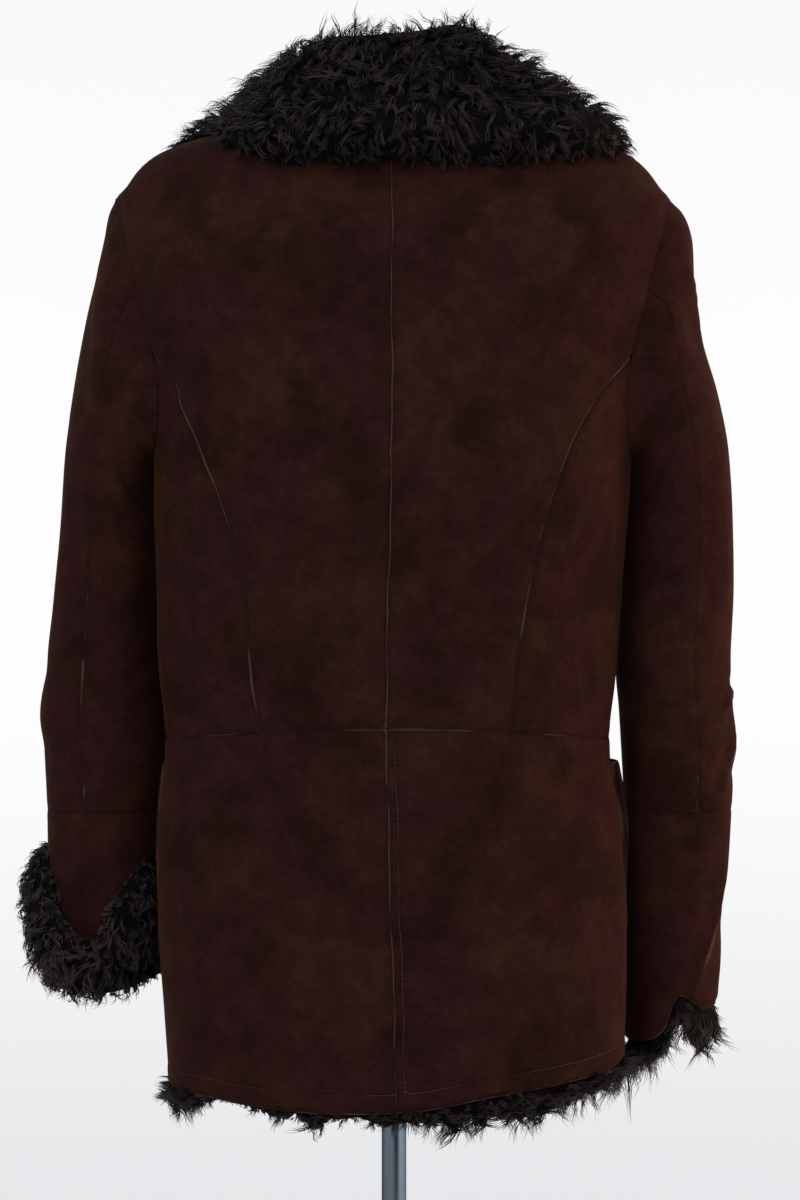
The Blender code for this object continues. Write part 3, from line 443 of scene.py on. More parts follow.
    def stepped(self, angle: Array, height: Array, side: Side, distance: float) -> Array:
        """The angle a distance further round the ring."""
        step = math.copysign(1e-3, distance)
        chord = self.point(angle + step, height, side) - self.point(angle, height, side)
        return angle + step * abs(distance) / np.linalg.norm(chord, axis=-1)

    def back_angle(self, out: Array | float, height: Array) -> Array:
        """Angle of a point of the back: arcsin of (out / half width) ** (n / 2)."""
        share = spread(out / self.sections.read("half_width", height), self.squareness / 2)
        return np.arcsin(np.clip(share, -1, 1))

    def front_angle(self, out: Array | float, height: Array) -> Array:
        """Angle of a point of the front, from its distance out of the centre front."""
        return math.pi - self.back_angle(out, height)

    def armhole_height(self, turn: Array | float) -> Array:
        """Height of the armhole: underarm + (1 + cos t) / 2 of the way to the shoulder."""
        return self.underarm + (1 + np.cos(turn)) / 2 * (self.shoulder - self.underarm)

    def armhole_angle(self, turn: Array | float) -> Array:
        """Angle of the armhole: 90 degrees less reach * sin t, towards the back up to half a turn."""
        rise, sine, read = (1 + np.cos(turn)) / 2, np.sin(turn), self.armhole.read
        reach = np.where(sine > 0, read("back_reach", rise), read("front_reach", rise))
        return math.pi / 2 - np.radians(reach) * sine

    def armhole_frame(self, turn: Array, side: Side) -> tuple[Array, Array, Array]:
        """Edge point of the armhole, the surface's normal there and the way along it into the hole."""
        step = 1e-3
        angle, height = self.armhole_angle(turn), self.armhole_height(turn)
        edge = self.point(angle, height, side)
        normal = self.normal(angle, height, side)
        ahead = self.point(self.armhole_angle(turn + step), self.armhole_height(turn + step), side)
        behind = self.point(self.armhole_angle(turn - step), self.armhole_height(turn - step), side)
        inward = unit(np.cross(normal, ahead - behind))
        middle = self.point(np.array(math.pi / 2), np.array((self.underarm + self.shoulder) / 2), side)
        towards = np.sign(np.sum(inward * (middle - edge), axis=-1))[..., None]
        return edge, normal, inward * towards

    def center_angle(self, height: Array, side: Side) -> Array:
        """Angle of the centre back seam, which wavers by half a millimetre: two sines of the height."""
        waver = sum(size * np.sin(rate * height + start) for size, rate, start in self.center_waver)
        return self.back_angle(self.center_gap + side.value * waver, height)

    def princess_angle(self, height: Array, side: Side) -> Array:
        """Angle of the princess seam, which ends where it meets the armhole."""
        meets = math.radians(self.princess_meets)
        top = self.armhole_height(meets)
        edge = self.stepped(self.armhole_angle(meets), top, Side.LEFT, -self.princess_tip)
        out = self.sections.read("half_width", top) * np.sin(edge) ** (2 / self.squareness)
        knots = np.append(self.princess["height"], top)
        outs = np.append(self.princess["out"], out)
        shift = self.princess_shift.read("left", height) * (side is Side.LEFT)
        return self.back_angle(monotone(knots, outs, height) + shift, height)


@dataclass(frozen=True)
class SleeveForm:
    """Surface of a sleeve: ellipses from an outermost to an innermost line, blended into the armhole."""

    coat: CoatForm
    side: Side
    rings: Table
    edge: Table
    blend: float = 4.0
    cuff_ring: int = 12
    back_seam: float = 75.0
    front_seam: float = 240.0

    def planar(self, turn: Array, ring: Array) -> Array:
        """Ellipse of a ring: middle + half width cos t across, + half depth sin t along Y."""
        read = self.rings.read
        outer_x, inner_x = read("outer_x", ring), read("inner_x", ring)
        outer_z, inner_z = read("outer_z", ring), read("inner_z", ring)
        x = (outer_x + inner_x) / 2 + (outer_x - inner_x) / 2 * np.cos(turn)
        z = (outer_z + inner_z) / 2 + (outer_z - inner_z) / 2 * np.cos(turn)
        y = read("centre_y", ring) + read("half_depth", ring) * np.sin(turn)
        return np.stack([self.side.value * x, y, z], axis=-1)

    def point(self, turn: Array, ring: Array) -> Array:
        """Point of the surface: the planar ring plus the armhole's shape, fading as (1 - ring / blend)²."""
        turn, ring = np.broadcast_arrays(np.asarray(turn, dtype=float), np.asarray(ring, dtype=float))
        edge, _, inward = self.coat.armhole_frame(turn, self.side)
        start = edge + inward * self.coat.seam_gap
        share = np.clip(1 - ring / self.blend, 0, 1)[..., None] ** 2
        return self.planar(turn, ring) + share * (start - self.planar(turn, np.zeros_like(ring)))

    def outward(self, turn: Array, ring: Array) -> Array:
        """Unit normal, which turns from the body's to the sleeve's own over the first ring."""
        turn, ring = np.broadcast_arrays(np.asarray(turn, dtype=float), np.asarray(ring, dtype=float))
        far = np.maximum(ring, 1.0)
        step = 1e-3
        along = self.point(turn + step, far) - self.point(turn - step, far)
        down = self.point(turn, far + step) - self.point(turn, far - step)
        own = unit(np.cross(down, along)) * self.side.value
        _, normal, inward = self.coat.armhole_frame(turn, self.side)
        under = math.pi / 2 * ramp(-np.cos(turn))[..., None]
        rim = normal * np.cos(under) - inward * np.sin(under)
        share = np.clip(ring, 0, 1)[..., None]
        return unit(rim * (1 - share) + own * share)

    def height(self, ring: Array) -> Array:
        """Height of a ring's outermost point."""
        return self.rings.read("outer_z", ring)

    def ring_at(self, height: Array) -> Array:
        """Ring at a height below the elbow, where the rings are level."""
        heights = self.rings["outer_z"]
        return np.interp(-np.asarray(height), -heights, self.rings.knots)


def ring_table(columns: str, *rows: tuple[float, ...]) -> Table:
    """Table whose first column is the number of the row."""
    return Table("ring " + columns, *[(number, *row) for number, row in enumerate(rows)])


SLEEVE_COLUMNS = "outer_x outer_z inner_x inner_z half_depth centre_y"
LEFT_RINGS = ring_table(
    SLEEVE_COLUMNS,
    (0.2155, 1.318, 0.1845, 1.115, 0.070, -0.008), (0.2180, 1.306, 0.1872, 1.112, 0.071, -0.008),
    (0.2244, 1.283, 0.1872, 1.108, 0.071, -0.008), (0.2325, 1.250, 0.1870, 1.102, 0.070, -0.009),
    (0.2404, 1.212, 0.1868, 1.094, 0.069, -0.012), (0.2481, 1.170, 0.1862, 1.084, 0.067, -0.016),
    (0.2538, 1.125, 0.1858, 1.070, 0.065, -0.020), (0.2574, 1.075, 0.1850, 1.045, 0.062, -0.024),
    (0.2633, 1.020, 0.1832, 1.005, 0.059, -0.028), (0.2706, 0.965, 0.1815, 0.960, 0.057, -0.032),
    (0.2756, 0.925, 0.1785, 0.925, 0.055, -0.035), (0.2734, 0.890, 0.1792, 0.890, 0.054, -0.039),
    (0.2717, 0.847, 0.1822, 0.847, 0.052, -0.043), (0.2713, 0.800, 0.1845, 0.800, 0.051, -0.047),
    (0.2697, 0.750, 0.1852, 0.750, 0.050, -0.051), (0.2679, 0.710, 0.1858, 0.710, 0.050, -0.053),
)
RIGHT_RINGS = ring_table(
    SLEEVE_COLUMNS,
    (0.2155, 1.318, 0.1835, 1.115, 0.070, -0.008), (0.2227, 1.306, 0.1855, 1.112, 0.071, -0.008),
    (0.2308, 1.283, 0.1848, 1.108, 0.071, -0.008), (0.2316, 1.250, 0.1842, 1.102, 0.070, -0.009),
    (0.2378, 1.212, 0.1836, 1.094, 0.069, -0.012), (0.2503, 1.170, 0.1827, 1.084, 0.068, -0.016),
    (0.2593, 1.125, 0.1815, 1.070, 0.066, -0.020), (0.2629, 1.075, 0.1788, 1.045, 0.063, -0.024),
    (0.2642, 1.020, 0.1760, 1.005, 0.060, -0.028), (0.2624, 0.965, 0.1730, 0.960, 0.057, -0.032),
    (0.2649, 0.925, 0.1758, 0.925, 0.055, -0.035), (0.2662, 0.890, 0.1780, 0.890, 0.054, -0.039),
    (0.2643, 0.847, 0.1800, 0.847, 0.052, -0.043), (0.2618, 0.800, 0.1798, 0.800, 0.050, -0.046),
    (0.2551, 0.750, 0.1795, 0.750, 0.049, -0.048), (0.2546, 0.715, 0.1798, 0.715, 0.049, -0.050),
    (0.2543, 0.660, 0.1830, 0.660, 0.049, -0.052),
)
LEFT_EDGE = Table(
    "turn height",
    (0, 0.7200), (34, 0.7170), (56, 0.7130), (86, 0.7110), (118, 0.7140), (148, 0.7190), (180, 0.7210),
    (270, 0.7160), (360, 0.7200),
)
RIGHT_EDGE = Table(
    "turn height",
    (0, 0.701), (30, 0.693), (52, 0.691), (68, 0.697), (84, 0.703), (92, 0.697), (105, 0.678), (125, 0.669),
    (180, 0.665), (240, 0.669), (300, 0.687), (360, 0.701),
)


# ---------------------------------------------------------------- creases


@dataclass(frozen=True)
class Crease:
    """Soft trough or ridge along a line on the cloth.

    Its height over the cloth is depth * exp(-(distance / width) ** 2), with the line's ends faded out.
    """

    line: tuple[tuple[float, float], ...]
    width: float
    depth: float
    end: float = 0.04
    fading: float = 0.7

    def relief(self, across: Array, up: Array) -> Array:
        """Height at points of the cloth.

        Args:
            across: Place across the cloth, in metres.
            up: Place along the cloth, in metres.

        Returns:
            Height over the cloth, in metres.
        """
        knots = np.array(self.line, dtype=float)
        lengths = run_along(knots)
        nearest = np.full(np.shape(across), np.inf)
        place = np.zeros(np.shape(across))
        for index in range(len(knots) - 1):
            start, way = knots[index], knots[index + 1] - knots[index]
            t = ((across - start[0]) * way[0] + (up - start[1]) * way[1]) / (way @ way)
            t = np.clip(t, 0, 1)
            away = np.hypot(across - start[0] - t * way[0], up - start[1] - t * way[1])
            closer = away < nearest
            nearest = np.where(closer, away, nearest)
            along = (lengths[index] + t * (lengths[index + 1] - lengths[index])) / lengths[-1]
            place = np.where(closer, along, place)
        fade = np.sin(math.pi * np.clip(place, self.end, 1 - self.end)) ** self.fading
        return self.depth * np.exp(-((nearest / self.width) ** 2)) * fade


def relief(creases: tuple[Crease, ...], across: Array, up: Array) -> Array:
    """Sum of all creases at points of the cloth."""
    total = np.zeros(np.broadcast(across, up).shape)
    for crease in creases:
        total = total + crease.relief(across, up)
    return total


# Metres of cloth for a degree round the sleeve.
DEGREE = 0.00085


def metres(millimetres: int) -> float:
    """Millimetres as metres."""
    return millimetres / 1000


def round_sleeve(degrees: int) -> float:
    """Degrees round a sleeve as metres of cloth."""
    return degrees * DEGREE


def creases(*rows: tuple[int, ...], across: Callable[[int], float] = metres) -> tuple[Crease, ...]:
    """Creases from rows of whole numbers.

    Args:
        rows: Width and depth in tenths of a millimetre, then for each point its place across and its height.
        across: Turns a place across the cloth into metres; heights are millimetres.

    Returns:
        The creases.
    """
    lines = [tuple(zip(map(across, row[2::2]), map(metres, row[3::2]))) for row in rows]
    return tuple(Crease(line, row[0] / 10000, row[1] / 10000) for line, row in zip(lines, rows))


# Places across are X; the wearer's left is +X.
BACK_CREASES = creases(
    (100, -22, -192, 1180, -170, 1140, -148, 1112), (110, -14, -186, 1140, -165, 1098, -150, 1060),
    (80, 10, -176, 1160, -155, 1125), (100, -20, 184, 1170, 160, 1130, 146, 1080),
    (100, -13, 178, 1120, 163, 1080, 156, 1030), (300, -16, 105, 1300, 88, 1255, 80, 1205),
    (280, -18, -112, 1300, -95, 1250, -82, 1190), (260, -16, 50, 1180, 56, 1090, 48, 985),
    (240, -14, -50, 1150, -62, 1070, -50, 975), (160, 12, 15, 1040, 22, 990, 12, 940),
    (60, -13, 86, 936, 60, 931, 28, 925), (60, -15, -16, 930, -50, 927, -82, 921),
    (70, 12, -24, 900, -60, 897, -98, 893), (70, 11, 120, 902, 90, 897, 40, 899),
    (60, -14, 165, 925, 140, 921, 115, 919), (60, -16, -122, 931, -145, 925, -166, 915),
    (80, 12, -130, 946, -152, 945, -170, 938), (90, 12, 148, 951, 160, 956, 172, 965),
    (220, 20, 50, 870, 54, 780, 50, 670), (200, -22, 88, 850, 94, 760, 100, 665),
    (180, 15, 132, 860, 136, 780, 138, 690), (200, 18, -32, 870, -40, 790, -44, 680),
    (200, -24, -80, 865, -92, 775, -104, 680), (170, 18, -128, 850, -136, 770, -146, 690),
    (120, -14, -155, 840, -162, 770, -168, 710), (120, -12, 10, 720, 30, 690, 62, 672),
    (130, -24, -212, 1346, -215, 1322, -215, 1290), (130, -24, 212, 1346, 215, 1322, 215, 1290),
)
FRONT_CREASES = creases(
    (100, -22, 160, 1165, 135, 1130, 112, 1108), (100, -20, -164, 1160, -140, 1120, -118, 1100),
    (120, -16, 150, 1120, 132, 1075, 125, 1030), (120, -15, -152, 1115, -136, 1070, -130, 1020),
    (220, 18, 75, 1080, 80, 1010, 70, 945), (220, 16, -78, 1075, -86, 1005, -72, 940),
    (60, -15, 110, 930, 85, 924, 60, 926), (60, -16, -58, 928, -90, 922, -118, 925),
    (200, -16, 60, 860, 64, 770, 72, 680), (200, -18, -62, 850, -68, 760, -70, 670),
    (180, 18, 128, 730, 130, 700, 133, 665), (180, 16, -126, 735, -132, 700, -136, 672),
    (130, -24, -212, 1346, -215, 1322, -215, 1290), (130, -24, 212, 1346, 215, 1322, 215, 1290),
)
# Places across are degrees round the sleeve, and heights those of the ring.
LEFT_SLEEVE_CREASES = creases(
    (120, 20, -50, 1300, 0, 1305, 50, 1300), (110, -20, 5, 1270, 40, 1215, 62, 1160),
    (90, -22, 100, 1190, 125, 1150, 160, 1125), (90, 14, 95, 1150, 130, 1110, 165, 1090),
    (160, 18, 20, 1150, 28, 1060, 22, 990), (140, -18, 50, 1120, 58, 1040, 50, 960),
    (120, -13, -15, 962, 20, 950, 55, 946), (120, 10, -20, 925, 15, 915, 48, 905),
    (80, -14, 10, 895, 34, 885, 64, 884), (80, -20, 170, 985, 130, 960, 95, 950),
    (80, -17, 165, 945, 130, 925, 90, 920), (160, -20, -60, 1120, -48, 1030, -62, 930),
    (80, -18, -95, 960, -60, 945, -30, 950), (120, 15, 200, 1050, 215, 980, 205, 900),
    (120, -14, 40, 835, 45, 790, 60, 750), (110, 12, 110, 830, 118, 790, 112, 750),
    (160, 40, 196, 1310, 198, 1230, 196, 1140), (140, 34, 188, 945, 190, 905, 188, 870),
    across=round_sleeve,
)
RIGHT_SLEEVE_CREASES = creases(
    (45, 36, 62, 1304, 40, 1272, 28, 1243, 22, 1215), (80, -30, 80, 1296, 56, 1262, 42, 1230, 36, 1200),
    (120, 20, -50, 1300, 0, 1305, 50, 1300), (100, -24, 95, 1200, 125, 1160, 160, 1130),
    (100, 15, 90, 1160, 128, 1115, 168, 1095), (160, 18, 40, 1180, 46, 1090, 38, 1000),
    (120, -16, 62, 1140, 66, 1050, 60, 970), (60, -22, -25, 956, 8, 944, 42, 950),
    (45, 28, 4, 944, 20, 938, 40, 926), (60, -30, 10, 926, 24, 921, 36, 914),
    (45, 26, 6, 918, 18, 896, 34, 878, 46, 856), (80, -18, 30, 912, 36, 894, 50, 872),
    (70, -18, -20, 886, 12, 874, 44, 878), (80, -20, 170, 970, 135, 950, 100, 944),
    (80, -16, 175, 930, 140, 912, 98, 908), (160, -20, -60, 1130, -46, 1040, -58, 935),
    (80, -20, -90, 950, -55, 936, -28, 944), (120, 14, 205, 1040, 212, 970, 200, 905),
    (45, 36, 22, 792, 34, 760, 52, 733, 80, 693), (80, -24, 44, 790, 56, 762, 70, 745, 84, 722),
    (100, 18, 2, 762, 12, 730, 28, 704), (50, -22, -5, 783, 8, 776, 20, 774),
    (140, -18, 100, 830, 112, 780, 118, 720), (160, 46, 196, 1310, 199, 1150, 197, 1010),
    (160, 42, 190, 760, 192, 690, 190, 620),
    across=round_sleeve,
)


# ---------------------------------------------------------------- cloth panels


class Border(Enum):
    """One side of a panel's grid."""

    FIRST_COLUMN = "first column"
    LAST_COLUMN = "last column"
    FIRST_ROW = "first row"
    LAST_ROW = "last row"

    def line(self, grid: Array) -> Array:
        """The points of this side of a grid."""
        if self is Border.FIRST_COLUMN:
            return grid[:, 0]
        if self is Border.LAST_COLUMN:
            return grid[:, -1]
        return grid[0] if self is Border.FIRST_ROW else grid[-1]


@dataclass
class Panel:
    """A cut piece of sheepskin: suede outside, wool inside, with its seams, free edges and topstitching.

    Each seam is a border of the grid with a number from 0 to 1: how much its edge stands up and is lighter,
    partly rubbed wear and partly painted highlight, and how strong the painted shadow beside it is. The
    panel's points carry their distance to the nearest seam, to the nearest free edge and to the topstitching,
    which is below zero between the stitching and its border. They carry also that number of the nearest
    seam, their place along the stitching, and how near they lie to a sharp fold's crest.
    """

    node: str
    base: Array
    normal: Array
    lift: Array
    seams: tuple[tuple[Border, float], ...]
    edges: tuple[Border, ...] = ()
    inner_seams: tuple[tuple[Array, float], ...] = ()
    stitched: tuple[tuple[Border, float], ...] = ()
    crest: Array | float = 0.0
    around: bool = False
    wall: float = 0.003
    rests_on: str = "dress_form"
    seam_roll: float = 0.0015
    seam_reach: float = 0.0022
    quiet_roll: float = 0.2
    full_rub_and_painted_light: float = 0.5
    edge_roll: float = 0.0010
    edge_reach: float = 0.0016
    crease_fade: float = 0.004
    far: float = 0.5
    lead: float = 0.0001

    def to_line(self, line: Array) -> tuple[Array, Array]:
        """Distance from each point of the grid to a line, and the place along the line that lies nearest.

        The nearest of the line's close points is found first, and the place moves on by the part of the rest
        that runs along the line.
        """
        step = 0.0015
        fine = densified(line, step)
        way = unit(np.gradient(fine, axis=0))
        distance = np.zeros(self.base.shape[:2])
        run = np.zeros(self.base.shape[:2])
        for number, row in enumerate(self.base):
            away = np.linalg.norm(row[:, None] - fine[None], axis=-1)
            index = away.argmin(axis=1)
            past = np.sum((row - fine[index]) * way[index], axis=1)
            past = np.clip(past, -step / 2, step / 2)
            distance[number] = np.linalg.norm(row - fine[index] - way[index] * past[:, None], axis=-1)
            run[number] = index * step + past
        return distance, run

    def to_lines(self, lines: list[tuple[Array, float]], offset: bool) -> tuple[Array, Array, Array]:
        """Least of the distances to some lines, with the place along that line and its number.

        Args:
            lines: Each line's points and its number; of two that run together the first one counts.
            offset: Whether the number is a distance that is taken from the line's own.
        """
        distance = np.full(self.base.shape[:2], self.far)
        run = np.zeros(self.base.shape[:2])
        number = np.zeros(self.base.shape[:2])
        for line, own in lines:
            away, along = self.to_line(line)
            away = away - own * offset
            closer = away < distance - self.lead
            distance = np.where(closer, away, distance)
            run = np.where(closer, along, run)
            number = np.where(closer, own, number)
        return distance, run, number

    def cut(self) -> tuple[float, float, float]:
        """Width, length and area of the panel laid flat, worked out from its own grid without creases."""
        grid = looped(self.base) if self.around else self.base
        width = np.linalg.norm(np.diff(grid, axis=1), axis=-1).sum(axis=1).max()
        length = np.linalg.norm(np.diff(grid, axis=0), axis=-1).sum(axis=0).max()
        return float(width), float(length), float(min(cell_areas(grid).sum(), width * length))

    def build(self, suede: bpy.types.Material, wool: bpy.types.Material) -> bpy.types.Object:
        """Make the panel's wall.

        Args:
            suede: Finish of the outer side and the cut edges.
            wool: Finish of the inner side.

        Returns:
            The panel, standing for its CAD node, which is hidden.
        """
        seams = list(self.inner_seams) + [(border.line(self.base), rub_and_painted_light) for border, rub_and_painted_light in self.seams]
        # Each seam's number sets its roll here; in the suede finish it sets the rubbed wear, the painted
        # highlight and the painted shadow beside the seam.
        to_seam, _, rub_and_painted_light = self.to_lines(seams, False)
        to_edge, _, _ = self.to_lines([(border.line(self.base), 0.0) for border in self.edges], False)
        stitching = [(border.line(self.base), off) for border, off in self.stitched]
        to_stitch, stitch_run, _ = self.to_lines(stitching, True)
        rolled = self.quiet_roll + (1 - self.quiet_roll) * np.clip(rub_and_painted_light / self.full_rub_and_painted_light, 0, 1)
        roll = self.seam_roll * rolled * np.exp(-((to_seam / self.seam_reach) ** 2))
        roll = roll + self.edge_roll * np.exp(-((to_edge / self.edge_reach) ** 2))
        shape = self.lift * ramp(np.minimum(to_seam, to_edge) / self.crease_fade)
        outer = self.base + self.normal * (shape - roll)[..., None]
        inner = self.base + self.normal * (shape / 2 - self.wall)[..., None]
        part = wall_part(f"suede_{self.node}", outer, inner, self.around)
        layers = {"to_seam": to_seam, "rub_and_painted_light": rub_and_painted_light, "to_edge": to_edge}
        layers.update(to_stitch=to_stitch, stitch_run=stitch_run)
        layers["crest"] = np.broadcast_to(self.crest, to_seam.shape)
        for name, values in layers.items():
            part.layers[name] = np.tile(values.ravel(), 2)
        item = part.build(suede, wool)
        width, length, area = self.cut()
        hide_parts(self.node)
        LOG.info("%s: cut %.0f by %.0f mm, %.0f square cm", self.node, width * 1e3, length * 1e3, area * 1e4)
        return item


# How much each panel's edge at the waist seam is lighter, partly rubbed wear and partly painted highlight,
# with painted shadow beside it.
WAIST_RUBS_AND_PAINTED_LIGHT = {
    "back_center": 0.35, "back_side": 0.2, "back_lower": 0.75, "front_upper": 0.5, "front_lower": 0.7,
}


@dataclass
class Bodice:
    """Panels of the back and the fronts, above and below the waist."""

    coat: CoatForm
    suede: bpy.types.Material
    wool: bpy.types.Material
    cell: float = 0.0056
    hem_stitch: float = 0.0140
    hem_fold: float = 0.0008
    center_stitch: float = 0.0062
    front_stitch: float = 0.0080
    quiet_rub_and_painted_light: float = 0.0
    princess_rub_and_painted_light: float = 0.5
    waist_rubs_and_painted_light: dict[str, float] = field(default_factory=lambda: dict(WAIST_RUBS_AND_PAINTED_LIGHT))
    # Centre back seam: the left panel's edge is painted light as a highlight, partly rubbed wear; the right
    # one much less.
    center_rub_and_painted_light: dict[Side, float] = field(default_factory=lambda: {Side.LEFT: 1.0, Side.RIGHT: 0.30})
    # Stretches of the princess seam, lowest and highest height, and how much each is rubbed and painted
    # lighter.
    princess_wear: tuple[Triple, ...] = (
        (0.900, 0.965, 0.90), (0.960, 1.045, 0.55), (1.040, 1.300, 1.00),
    )
    underlap_in: float = 0.024
    underlap_out: float = 0.036
    underlap_top: float = 1.150
    underlap_fade: float = 0.040
    armhole_step: float = 3.75
    pocket_bottom: float = 0.750
    pocket_top: float = 0.893
    pocket_first: float = 94.0
    pocket_last: float = 150.0
    pocket_wall: float = 0.0021
    pocket_gap: float = 0.0013
    pocket_stitch: float = 0.0035
    pocket_gape: dict[Side, float] = field(default_factory=lambda: {Side.LEFT: 0.0012, Side.RIGHT: 0.0063})
    gape_from: float = 0.15
    gape_over: float = 0.5
    gape_lean: float = 0.3
    chest_angle: float = 1.25
    ridge_angle: float = 1.5
    skirt_angle: float = 0.4
    ridge_cell: float = 0.8
    close_rows: tuple[float, ...] = (0.0008, 0.0020, 0.0036)
    hem_fade: float = 0.004
    center_columns: int = 29
    side_columns: int = 16
    side_close: Triple = (0.008, 0.022, 0.045)
    skirt_columns: int = 42
    front_columns: int = 24
    front_skirt_columns: int = 28
    front_places: tuple[float, ...] = (0, 0.70, 0.80, 0.90, 1.0)
    past_front_in: float = 0.008
    past_front_out: float = 0.016
    pocket_rows: int = 32
    pocket_columns: int = 26

    def even_heights(self, angle: float, first: float, last: float, step: float) -> Array:
        """Heights that lie evenly along the surface at an angle."""
        turn = np.array(angle)
        return evened(lambda height: self.coat.point(turn, height, Side.LEFT), first, last, step)

    def upper_rows(self) -> tuple[Array, Array, Array, int]:
        """Rows from the waist to the neck.

        Returns:
            Heights, the armhole's turn at each, which of them lie on the armhole, and the row where the
            princess seam meets it.
        """
        coat = self.coat
        bottom = coat.waist + coat.seam_gap / 2
        chest = self.even_heights(self.chest_angle, bottom, coat.underarm, self.cell)[:-1]
        turns = np.radians(np.arange(180, -0.1, -self.armhole_step))
        ridge = self.even_heights(self.ridge_angle, coat.shoulder, coat.neck, self.cell * self.ridge_cell)[1:]
        heights = np.concatenate([chest, coat.armhole_height(turns), ridge])
        turn = np.concatenate([np.full(len(chest), math.pi), turns, np.zeros(len(ridge))])
        on_hole = (turn > 1e-6) & (turn < math.pi - 1e-6)
        meets = len(chest) + int(round((180 - coat.princess_meets) / self.armhole_step))
        return heights, turn, on_hole, meets

    def lower_rows(self) -> Array:
        """Heights from the hem to the waist, with close rows at both ends."""
        top = self.coat.waist - self.coat.seam_gap / 2
        even = self.even_heights(self.skirt_angle, self.coat.hem, top, self.cell)
        close = np.array(self.close_rows)
        return np.unique(np.concatenate([even, even[0] + close, even[-1] - close]))

    def side_seam(self, heights: Array, side: Side, way: int) -> Array:
        """Angle of a panel's edge at the side seam; way is -1 on the back and 1 on the front."""
        middle = np.full_like(heights, math.pi / 2)
        return self.coat.stepped(middle, heights, side, way * self.coat.seam_gap / 2)

    def princess_edge(self, heights: Array, side: Side, way: int) -> Array:
        """Angle of a panel's edge at the princess seam; way is -1 on the middle panel, 1 on the side one."""
        seam = self.coat.princess_angle(heights, side)
        return self.coat.stepped(seam, heights, side, way * self.coat.seam_gap / 2)

    def side_line(self, heights: Array, turn: Array, on_hole: Array, side: Side, way: int) -> Array:
        """Angle of an upper panel's outer edge: side seam, armhole, shoulder seam; way is -1 on the back."""
        seam = self.side_seam(heights, side, way)
        hole = self.coat.armhole_angle(turn if way < 0 else 2 * math.pi - turn)
        return np.where(on_hole, hole, seam)

    def panel(
        self, node: str, angles: Array, heights: Array, side: Side, sink: Array | float = 0.0, **more: object
    ) -> Panel:
        """Panel over a grid of angles, one row of them for each height.

        Args:
            node: CAD node that the panel stands for.
            angles: Angles, rows by columns.
            heights: Height of each row.
            side: Side of the body.
            sink: How far the panel lies under the coat's surface.
            more: The panel's own seams, edges and stitching.

        Returns:
            The panel.
        """
        tall = heights[:, None] * np.ones_like(angles)
        normal = self.coat.normal(angles, tall, side)
        base = self.coat.point(angles, tall, side) - normal * np.broadcast_to(sink, angles.shape)[..., None]
        back = relief(BACK_CREASES, base[..., 0], base[..., 2])
        front = relief(FRONT_CREASES, base[..., 0], base[..., 2])
        share = ramp(0.5 + np.cos(angles) / 0.5)
        fold = self.hem_fold * ramp((self.coat.hem + self.hem_stitch - tall) / self.hem_fade)
        return Panel(node, base, normal, back * share + front * (1 - share) + fold, **more)

    def back_center(self, side: Side) -> Panel:
        """Middle panel of the back, from the waist to the neck."""
        heights, turn, on_hole, meets = self.upper_rows()
        edge = self.side_line(heights, turn, on_hole, side, -1)
        below = slice(None, meets + 1)
        edge[below] = self.princess_edge(heights[below], side, -1)
        middle = self.coat.center_angle(heights, side)
        angles = middle[:, None] + (edge - middle)[:, None] * edge_shares(self.center_columns)
        borders = (Border.FIRST_COLUMN, Border.LAST_COLUMN, Border.FIRST_ROW)
        seams = tuple(zip(borders, (self.center_rub_and_painted_light[side], self.quiet_rub_and_painted_light, self.waist_rubs_and_painted_light["back_center"])))
        worn = self.stretches(self.coat.point(edge[below], heights[below], side), heights[below])
        return self.panel(f"back_center_{side.word}", angles, heights, side, seams=seams, inner_seams=worn)

    def stretches(self, line: Array, heights: Array) -> tuple[tuple[Array, float], ...]:
        """Stretches of the princess seam from the waist up, each with how much it is rubbed and painted
        lighter.
        """
        found = ((line[(heights >= low) & (heights <= high)], rub_and_painted_light) for low, high, rub_and_painted_light in self.princess_wear)
        return tuple(found)

    def back_side(self, side: Side) -> Panel:
        """Side panel of the back, up to its tip at the armhole."""
        heights, turn, on_hole, meets = self.upper_rows()
        edge = self.side_line(heights, turn, on_hole, side, -1)[: meets + 1]
        heights = heights[: meets + 1]
        princess = self.princess_edge(heights, side, 1)
        shares = edge_shares(self.side_columns, self.side_close)
        angles = princess[:, None] + (edge - princess)[:, None] * shares
        borders = (Border.FIRST_COLUMN, Border.LAST_COLUMN, Border.FIRST_ROW)
        seams = tuple(zip(borders, (self.princess_rub_and_painted_light, self.quiet_rub_and_painted_light, self.waist_rubs_and_painted_light["back_side"])))
        return self.panel(f"back_side_{side.word}", angles, heights, side, seams=seams)

    def back_lower(self, side: Side) -> Panel:
        """Back of the skirt; the right one has a line of stitching beside the centre seam."""
        heights = self.lower_rows()
        middle = self.coat.center_angle(heights, side)
        edge = self.side_seam(heights, side, -1)
        angles = middle[:, None] + (edge - middle)[:, None] * edge_shares(self.skirt_columns)
        hem = (Border.FIRST_ROW, self.hem_stitch)
        beside = (Border.FIRST_COLUMN, self.center_stitch)
        return self.panel(
            f"back_lower_{side.word}",
            angles,
            heights,
            side,
            seams=(
                (Border.FIRST_COLUMN, self.center_rub_and_painted_light[side]),
                (Border.LAST_COLUMN, self.quiet_rub_and_painted_light),
                (Border.LAST_ROW, self.waist_rubs_and_painted_light["back_lower"]),
            ),
            edges=(Border.FIRST_ROW,),
            stitched=(hem, beside) if side is Side.RIGHT else (hem,),
        )

